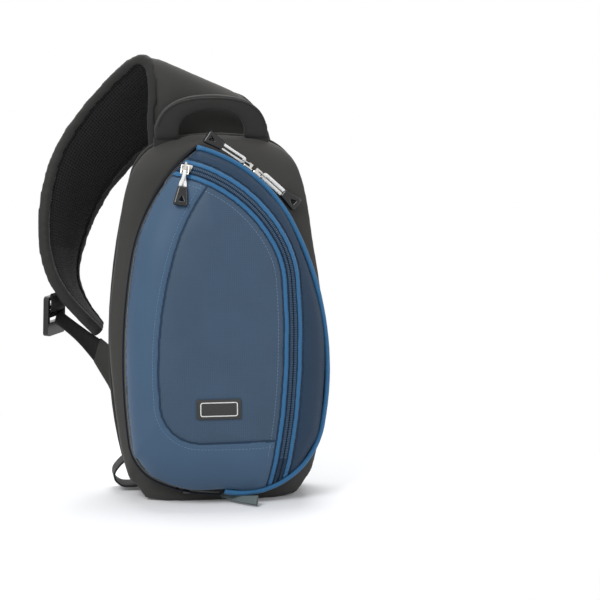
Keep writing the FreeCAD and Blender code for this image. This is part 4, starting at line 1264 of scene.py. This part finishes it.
# %% Dividers
SHELF_SQUARE = 2.6 * MM
SHELF_DRAWN_IN = 0.6 * MM
for node, body_name in (("divider_lower", "lower_divider"), ("divider_upper", "upper_divider")):
    shelf = rebuilt(copy_of(node), SHELF_SQUARE, 4)
    moved_out(shelf, lambda place, normal: waved(place, LINING_WAVE, 0.4 * MM) - SHELF_DRAWN_IN)
    shelf_piece = piece(node + "_pad", shelf, [lining_cloth], body_name, node)

# %% [markdown]
# ## Webbing
# Webbing is a flat woven strap, 25 mm wide. Each stretch runs between two edge lines. A grid is laid
# between the lines, moved half its thickness to one side and given its thickness, and its UV is in metres,
# so that the weave runs along it.

# %% Webbing bands
WEBBING_THICK = 1.6
LOCK_CENTRE = Vector((-144.0, 50.5, 160.0))
LOCK_LONG = Vector((0.04, 0.0, 1.0)).normalized()
LOCK_ACROSS = Vector((0.5, 0.87, 0.0)).normalized()
LOCK_THROUGH = LOCK_ACROSS.cross(LOCK_LONG)
HALF_WEB = 12.5
BAND_CELLS = 8
BAND_STEP = 2.0 * MM
SHARP_EDGE = 0.9
EDGE_ROUND = 0.3 * MM


def webbing_band(name, near, far, thick, *stands_for):
    """Woven band between two edge lines through points in millimetres."""
    near_line, far_line = fine_line(near), fine_line(far)
    last = len(near_line) - 1
    band = bmesh.new()
    bmesh.ops.create_grid(band, x_segments=last, y_segments=BAND_CELLS, size=0.5)
    weave = band.loops.layers.uv.new("weave")
    spots = {}
    for vertex in band.verts:
        spots[vertex] = (round((vertex.co.x + 0.5) * last), vertex.co.y + 0.5)
    for face in band.faces:
        for loop in face.loops:
            along, share = spots[loop.vert]
            loop[weave].uv = (share * (far_line[along] - near_line[along]).length, along * BAND_STEP)
    for vertex, (along, share) in spots.items():
        vertex.co = near_line[along].lerp(far_line[along], share)
    moved_out(band, lambda place, normal: thick / 2 * MM)
    bmesh.ops.solidify(band, geom=band.faces[:], thickness=thick * MM)
    bmesh.ops.recalc_face_normals(band, faces=band.faces)
    corners = [edge for edge in band.edges if edge.calc_face_angle(0.0) > SHARP_EDGE]
    bmesh.ops.bevel(band, geom=corners, offset=EDGE_ROUND, segments=2, profile=0.5, affect="EDGES",
                    material=-1)
    return piece(name, band, [webbing_cloth], "bag", *stands_for)


def lock_point(x, y, z):
    """Place from millimetres across, along and through the buckle."""
    return LOCK_CENTRE + LOCK_ACROSS * x + LOCK_LONG * y + LOCK_THROUGH * z


SEWN_SPOTS = (100, 104, 108)
SEWN_IN = 6.0
SEWN_PROUD = 5.4
sewn_near, sewn_far = [], []
for index in SEWN_SPOTS:
    across = (strap.far[index] - strap.near[index]).normalized()
    along = (strap.middles[index + 1] - strap.middles[index - 1]).normalized()
    edge_spot = strap.near[index] / MM + across * SEWN_IN + across.cross(along) * SEWN_PROUD
    sewn_near.append(edge_spot)
    sewn_far.append(edge_spot + across * 2 * HALF_WEB)
# Along and through the buckle, where the webbing runs over its bar
over_bar = ((21.4, 3.7), (10.0, 3.7), (4.5, 2.2), (2.5, -1.0))
webbing_band("buckle_webbing_band", sewn_near + [lock_point(-HALF_WEB, y, z) for y, z in over_bar],
             sewn_far + [lock_point(HALF_WEB, y, z) for y, z in over_bar], WEBBING_THICK, "buckle_webbing")
ADJUSTER_NEAR = [(-144.0, 42.5, 154.5), (-124.5, 43.0, 136.5), (-108.0, 43.6, 116.0)]
ADJUSTER_FAR = [(-140.5, 56.5, 163.5), (-119.0, 51.0, 147.5), (-103.0, 47.6, 136.5)]
webbing_band("adjuster_webbing_band", ADJUSTER_NEAR, ADJUSTER_FAR, WEBBING_THICK, "adjuster_webbing")
LOOP_PATH = [(-79.0, 31.0), (-88.0, 24.0), (-93.0, 14.5), (-88.0, 6.5), (-78.0, 4.5), (-68.0, 5.5)]
LOOP_Y = 38.0
webbing_band("corner_loop_band", [(x, LOOP_Y - HALF_WEB, z) for x, z in LOOP_PATH],
             [(x, LOOP_Y + HALF_WEB, z) for x, z in LOOP_PATH], WEBBING_THICK, "corner_loop")

# %% [markdown]
# The webbing ends in a wing of doubled charcoal cloth, sewn into the casing's side. The soft tab where the
# zip ends is a small piece of pale cloth, folded once and sewn in at its raw edges, so that it is open
# along its lower side.

# %% Wing and tab
WING_SQUARE = 0.8 * MM
wing = rebuilt(copy_of("webbing_anchor"), WING_SQUARE, 2)
moved_out(wing, lambda place, normal: waved(place, 0.015, 0.6 * MM))
piece("webbing_wing", wing, [charcoal_cloth], "bag", "webbing_anchor")

TAB_LOWER = [(-3.0, -18.0, 3.4), (10.0, -36.0, 2.8), (27.0, -52.0, 2.2)]
TAB_UPPER = [(0.0, -20.0, 6.2), (13.0, -34.0, 7.2), (29.0, -45.0, 9.4)]
TAB_CELLS = 16
TAB_OPEN = 3.0
TAB_THICK = 0.5
FOLD_POWER = 1.6
MOUTH_POWER = 0.5
tab_near, tab_far = fine_line(TAB_LOWER), fine_line(TAB_UPPER)
tab = bmesh.new()
bmesh.ops.create_grid(tab, x_segments=len(tab_near) - 1, y_segments=TAB_CELLS, size=0.5)
for vertex in tab.verts:
    along = round((vertex.co.x + 0.5) * (len(tab_near) - 1))
    turned = 2 * vertex.co.y
    up = 1 - abs(turned) ** FOLD_POWER
    swing = math.copysign(TAB_OPEN / 2 * (along / len(tab_near)) * abs(turned) ** MOUTH_POWER, turned)
    upright = (tab_far[along] - tab_near[along]).normalized()
    run = (tab_near[-1] - tab_near[0]).normalized()
    vertex.co = tab_near[along].lerp(tab_far[along], up) + upright.cross(run) * swing * MM
tab.normal_update()
tab_length = (tab_near[-1] - tab_near[0]).length
tab_width = sum(face.calc_area() for face in tab.faces) / tab_length
bmesh.ops.solidify(tab, geom=tab.faces[:], thickness=TAB_THICK * MM)
bmesh.ops.recalc_face_normals(tab, faces=tab.faces)
zip_tab = piece("zip_tab_cloth", tab, [tab_cloth], "bag", "pull_tab")
print("tab cloth: %.1f mm by %.1f mm before its fold" % (tab_width / MM, tab_length / MM))

# %% [markdown]
# ## Zip tapes, pulls and buckle
# The zip's tapes are thin cloth and are rebuilt in very small squares. The casing's tape stands a little
# outside the piping. The pulls' cords are thick soft rope, and their grips are moulded with rounded edges,
# so both are rebuilt small as well. The metal parts and the buckle keep their CAD shapes and get their
# finishes.

# %% Tapes, cords, grips and metal
TAPE_SQUARE = 0.45 * MM
PULL_SQUARE = 0.4 * MM
GRIP_ROUNDS = 9
GRIP_LET_OUT = 0.5 * MM
ROPE_LET_OUT = 0.4 * MM
for name, node, body_name, swell in (("flap_zip_cloth", "flap_zip_tape", "front_flap", 0.0),
                                     ("casing_zip_cloth", "casing_zip_tape", "bag", 0.7),
                                     ("pocket_tape_outside", "pocket_outer_row", "front_flap", 0.0),
                                     ("pocket_tape_inside", "pocket_inner_row", "front_flap", 0.0)):
    tape = rebuilt(copy_of(node), TAPE_SQUARE, 1)
    for vertex in tape.verts:
        vertex.co.x += math.copysign(swell * MM, vertex.co.x)
    piece(name, tape, [zip_tape_cloth], body_name, node)

for which in ("first", "second", "pocket"):
    pull_body = which + "_pull"
    grip = rebuilt(copy_of("pull_grip_" + which), PULL_SQUARE, GRIP_ROUNDS)
    moved_out(grip, lambda place, normal: GRIP_LET_OUT)
    piece("grip_" + which, grip, [black_plastic], pull_body, "pull_grip_" + which)
    rope = rebuilt(copy_of("pull_cord_" + which), PULL_SQUARE, 1)
    moved_out(rope, lambda place, normal: ROPE_LET_OUT)
    piece("pull_rope_" + which, rope, [cord_cloth], pull_body, "pull_cord_" + which)

repaint(black_plastic, "ladder_lock")
repaint(nickel, "main_slider_first", "main_slider_second", "pocket_slider",
        "pull_ring_first", "pull_ring_second", "pull_ring_pocket")

# %% [markdown]
# ## Label
# The sewn-on label is a black rubber patch with a plain raised rim in pale rubber, and it is bare inside.
# Both are bent over the crown: each point is laid on the cloth below it.

# %% Label patch and rim
LABEL_MIDDLE = (-6.0, 85.0)
LABEL_SIZE = (39.0, 17.5)
LABEL_THICK = 1.5
LABEL_SUNK = -0.4
LABEL_CORNER = 1.2
LABEL_SLICES = 12
RIM_SIZE = (33.0, 12.6)
RIM_WIDTH = 0.9
RIM_CORNER = 2.2
RIM_SUNK = 0.3
RIM_PROUD = 0.35
CORNER_SEGMENTS = 6
cover_below = surface_of_pieces(centre)


def rounded_plate(size, corner, low, high, slices):
    """Plate with round corners, standing on the front plane's middle of the label, cut in even slices."""
    plate = bmesh.new()
    bmesh.ops.create_cube(plate, size=1.0)
    bmesh.ops.scale(plate, vec=Vector((size[0], high - low, size[1])) * MM, verts=plate.verts)
    uprights = [edge for edge in plate.edges
                if abs((edge.verts[0].co - edge.verts[1].co).normalized().y) > SHARP_EDGE]
    bmesh.ops.bevel(plate, geom=uprights, offset=corner * MM, segments=CORNER_SEGMENTS, profile=0.5,
                    affect="EDGES", material=-1)
    for step in range(1, slices):
        cut = (step / slices - 0.5) * size[0] * MM
        bmesh.ops.bisect_plane(plate, geom=plate.verts[:] + plate.edges[:] + plate.faces[:],
                               plane_co=(cut, 0.0, 0.0), plane_no=(1.0, 0.0, 0.0))
    bmesh.ops.translate(plate, vec=Vector((0.0, -(low + high) / 2, 0.0)) * MM, verts=plate.verts)
    return plate


def laid_on_cover(shape):
    """Moves a flat shape over the label's spot, and each point as far ahead as the cloth is there."""
    for vertex in shape.verts:
        x, w = vertex.co.x / MM + LABEL_MIDDLE[0], vertex.co.z / MM + LABEL_MIDDLE[1]
        below = on_cover(x, w, cover_below)[0]
        vertex.co = below + into_bag * vertex.co.y
    bmesh.ops.recalc_face_normals(shape, faces=shape.faces)
    return shape


patch = laid_on_cover(rounded_plate(LABEL_SIZE, LABEL_CORNER, LABEL_SUNK, LABEL_THICK, LABEL_SLICES))
edges = [edge for edge in patch.edges if edge.calc_face_angle(0.0) > 1.0]
bmesh.ops.bevel(patch, geom=edges, offset=EDGE_ROUND, segments=2, profile=0.5, affect="EDGES", material=-1)
piece("label_patch_rubber", patch, [label_rubber], "front_flap", "label_patch")

rim = rounded_plate(RIM_SIZE, RIM_CORNER, LABEL_THICK - RIM_SUNK, LABEL_THICK + RIM_PROUD, 1)
rim.normal_update()
caps = [face for face in rim.faces if abs(face.normal.y) > SHARP_EDGE]
bmesh.ops.inset_region(rim, faces=caps, thickness=RIM_WIDTH * MM, use_even_offset=True)
bmesh.ops.delete(rim, geom=caps, context="FACES")
open_edges = [edge for edge in rim.edges if edge.is_boundary]
bmesh.ops.bridge_loops(rim, edges=open_edges)
piece("label_rim", laid_on_cover(rim), [label_rim_rubber], "front_flap")

# %% [markdown]
# ## Hinge web and seam line
# The flap is sewn to the casing along its curved left side. Inside that seam lies a folded web of cloth,
# which opens like a fan with the flap and closes the side of the bag. It is a band of many narrow rows.
# The dark line of the seam itself is a thin cord.

# %% Hinge web
WEB_INSIDE = -2.0
WEB_DEEP = 1.5
WEB_ROWS = 14
WEB_THICK = 0.5
WEB_STEP = 3.0
seam_spots = walk(ZIP_START, SEAM_HEADING, SEAM_ARCS, 1, WEB_STEP, WEB_INSIDE)
web = bmesh.new()
bmesh.ops.create_grid(web, x_segments=len(seam_spots) - 1, y_segments=WEB_ROWS, size=0.5)
for vertex in web.verts:
    x, w, _ = seam_spots[round((vertex.co.x + 0.5) * (len(seam_spots) - 1))]
    vertex.co = front_place(x, w, 2 * WEB_DEEP * vertex.co.y)
bmesh.ops.solidify(web, geom=web.faces[:], thickness=WEB_THICK * MM)
bmesh.ops.recalc_face_normals(web, faces=web.faces)
hinge_web = piece("hinge_web", web, [lining_cloth], None)
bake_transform(hinge_web)

# %% Seam line
LINE_RADIUS = 0.8 * MM
LINE_AHEAD = 1.4
LINE_STEP = 2.0
LINE_OUT = 0.2
line_spots = walk(ZIP_START, SEAM_HEADING, SEAM_ARCS, 1, LINE_STEP, LINE_OUT)
hinge_line = [front_place(x, w, LINE_AHEAD) for x, w, _ in line_spots]
piece("left_seam_line", round_cord(hinge_line, LINE_RADIUS), [seam_cloth], "bag")
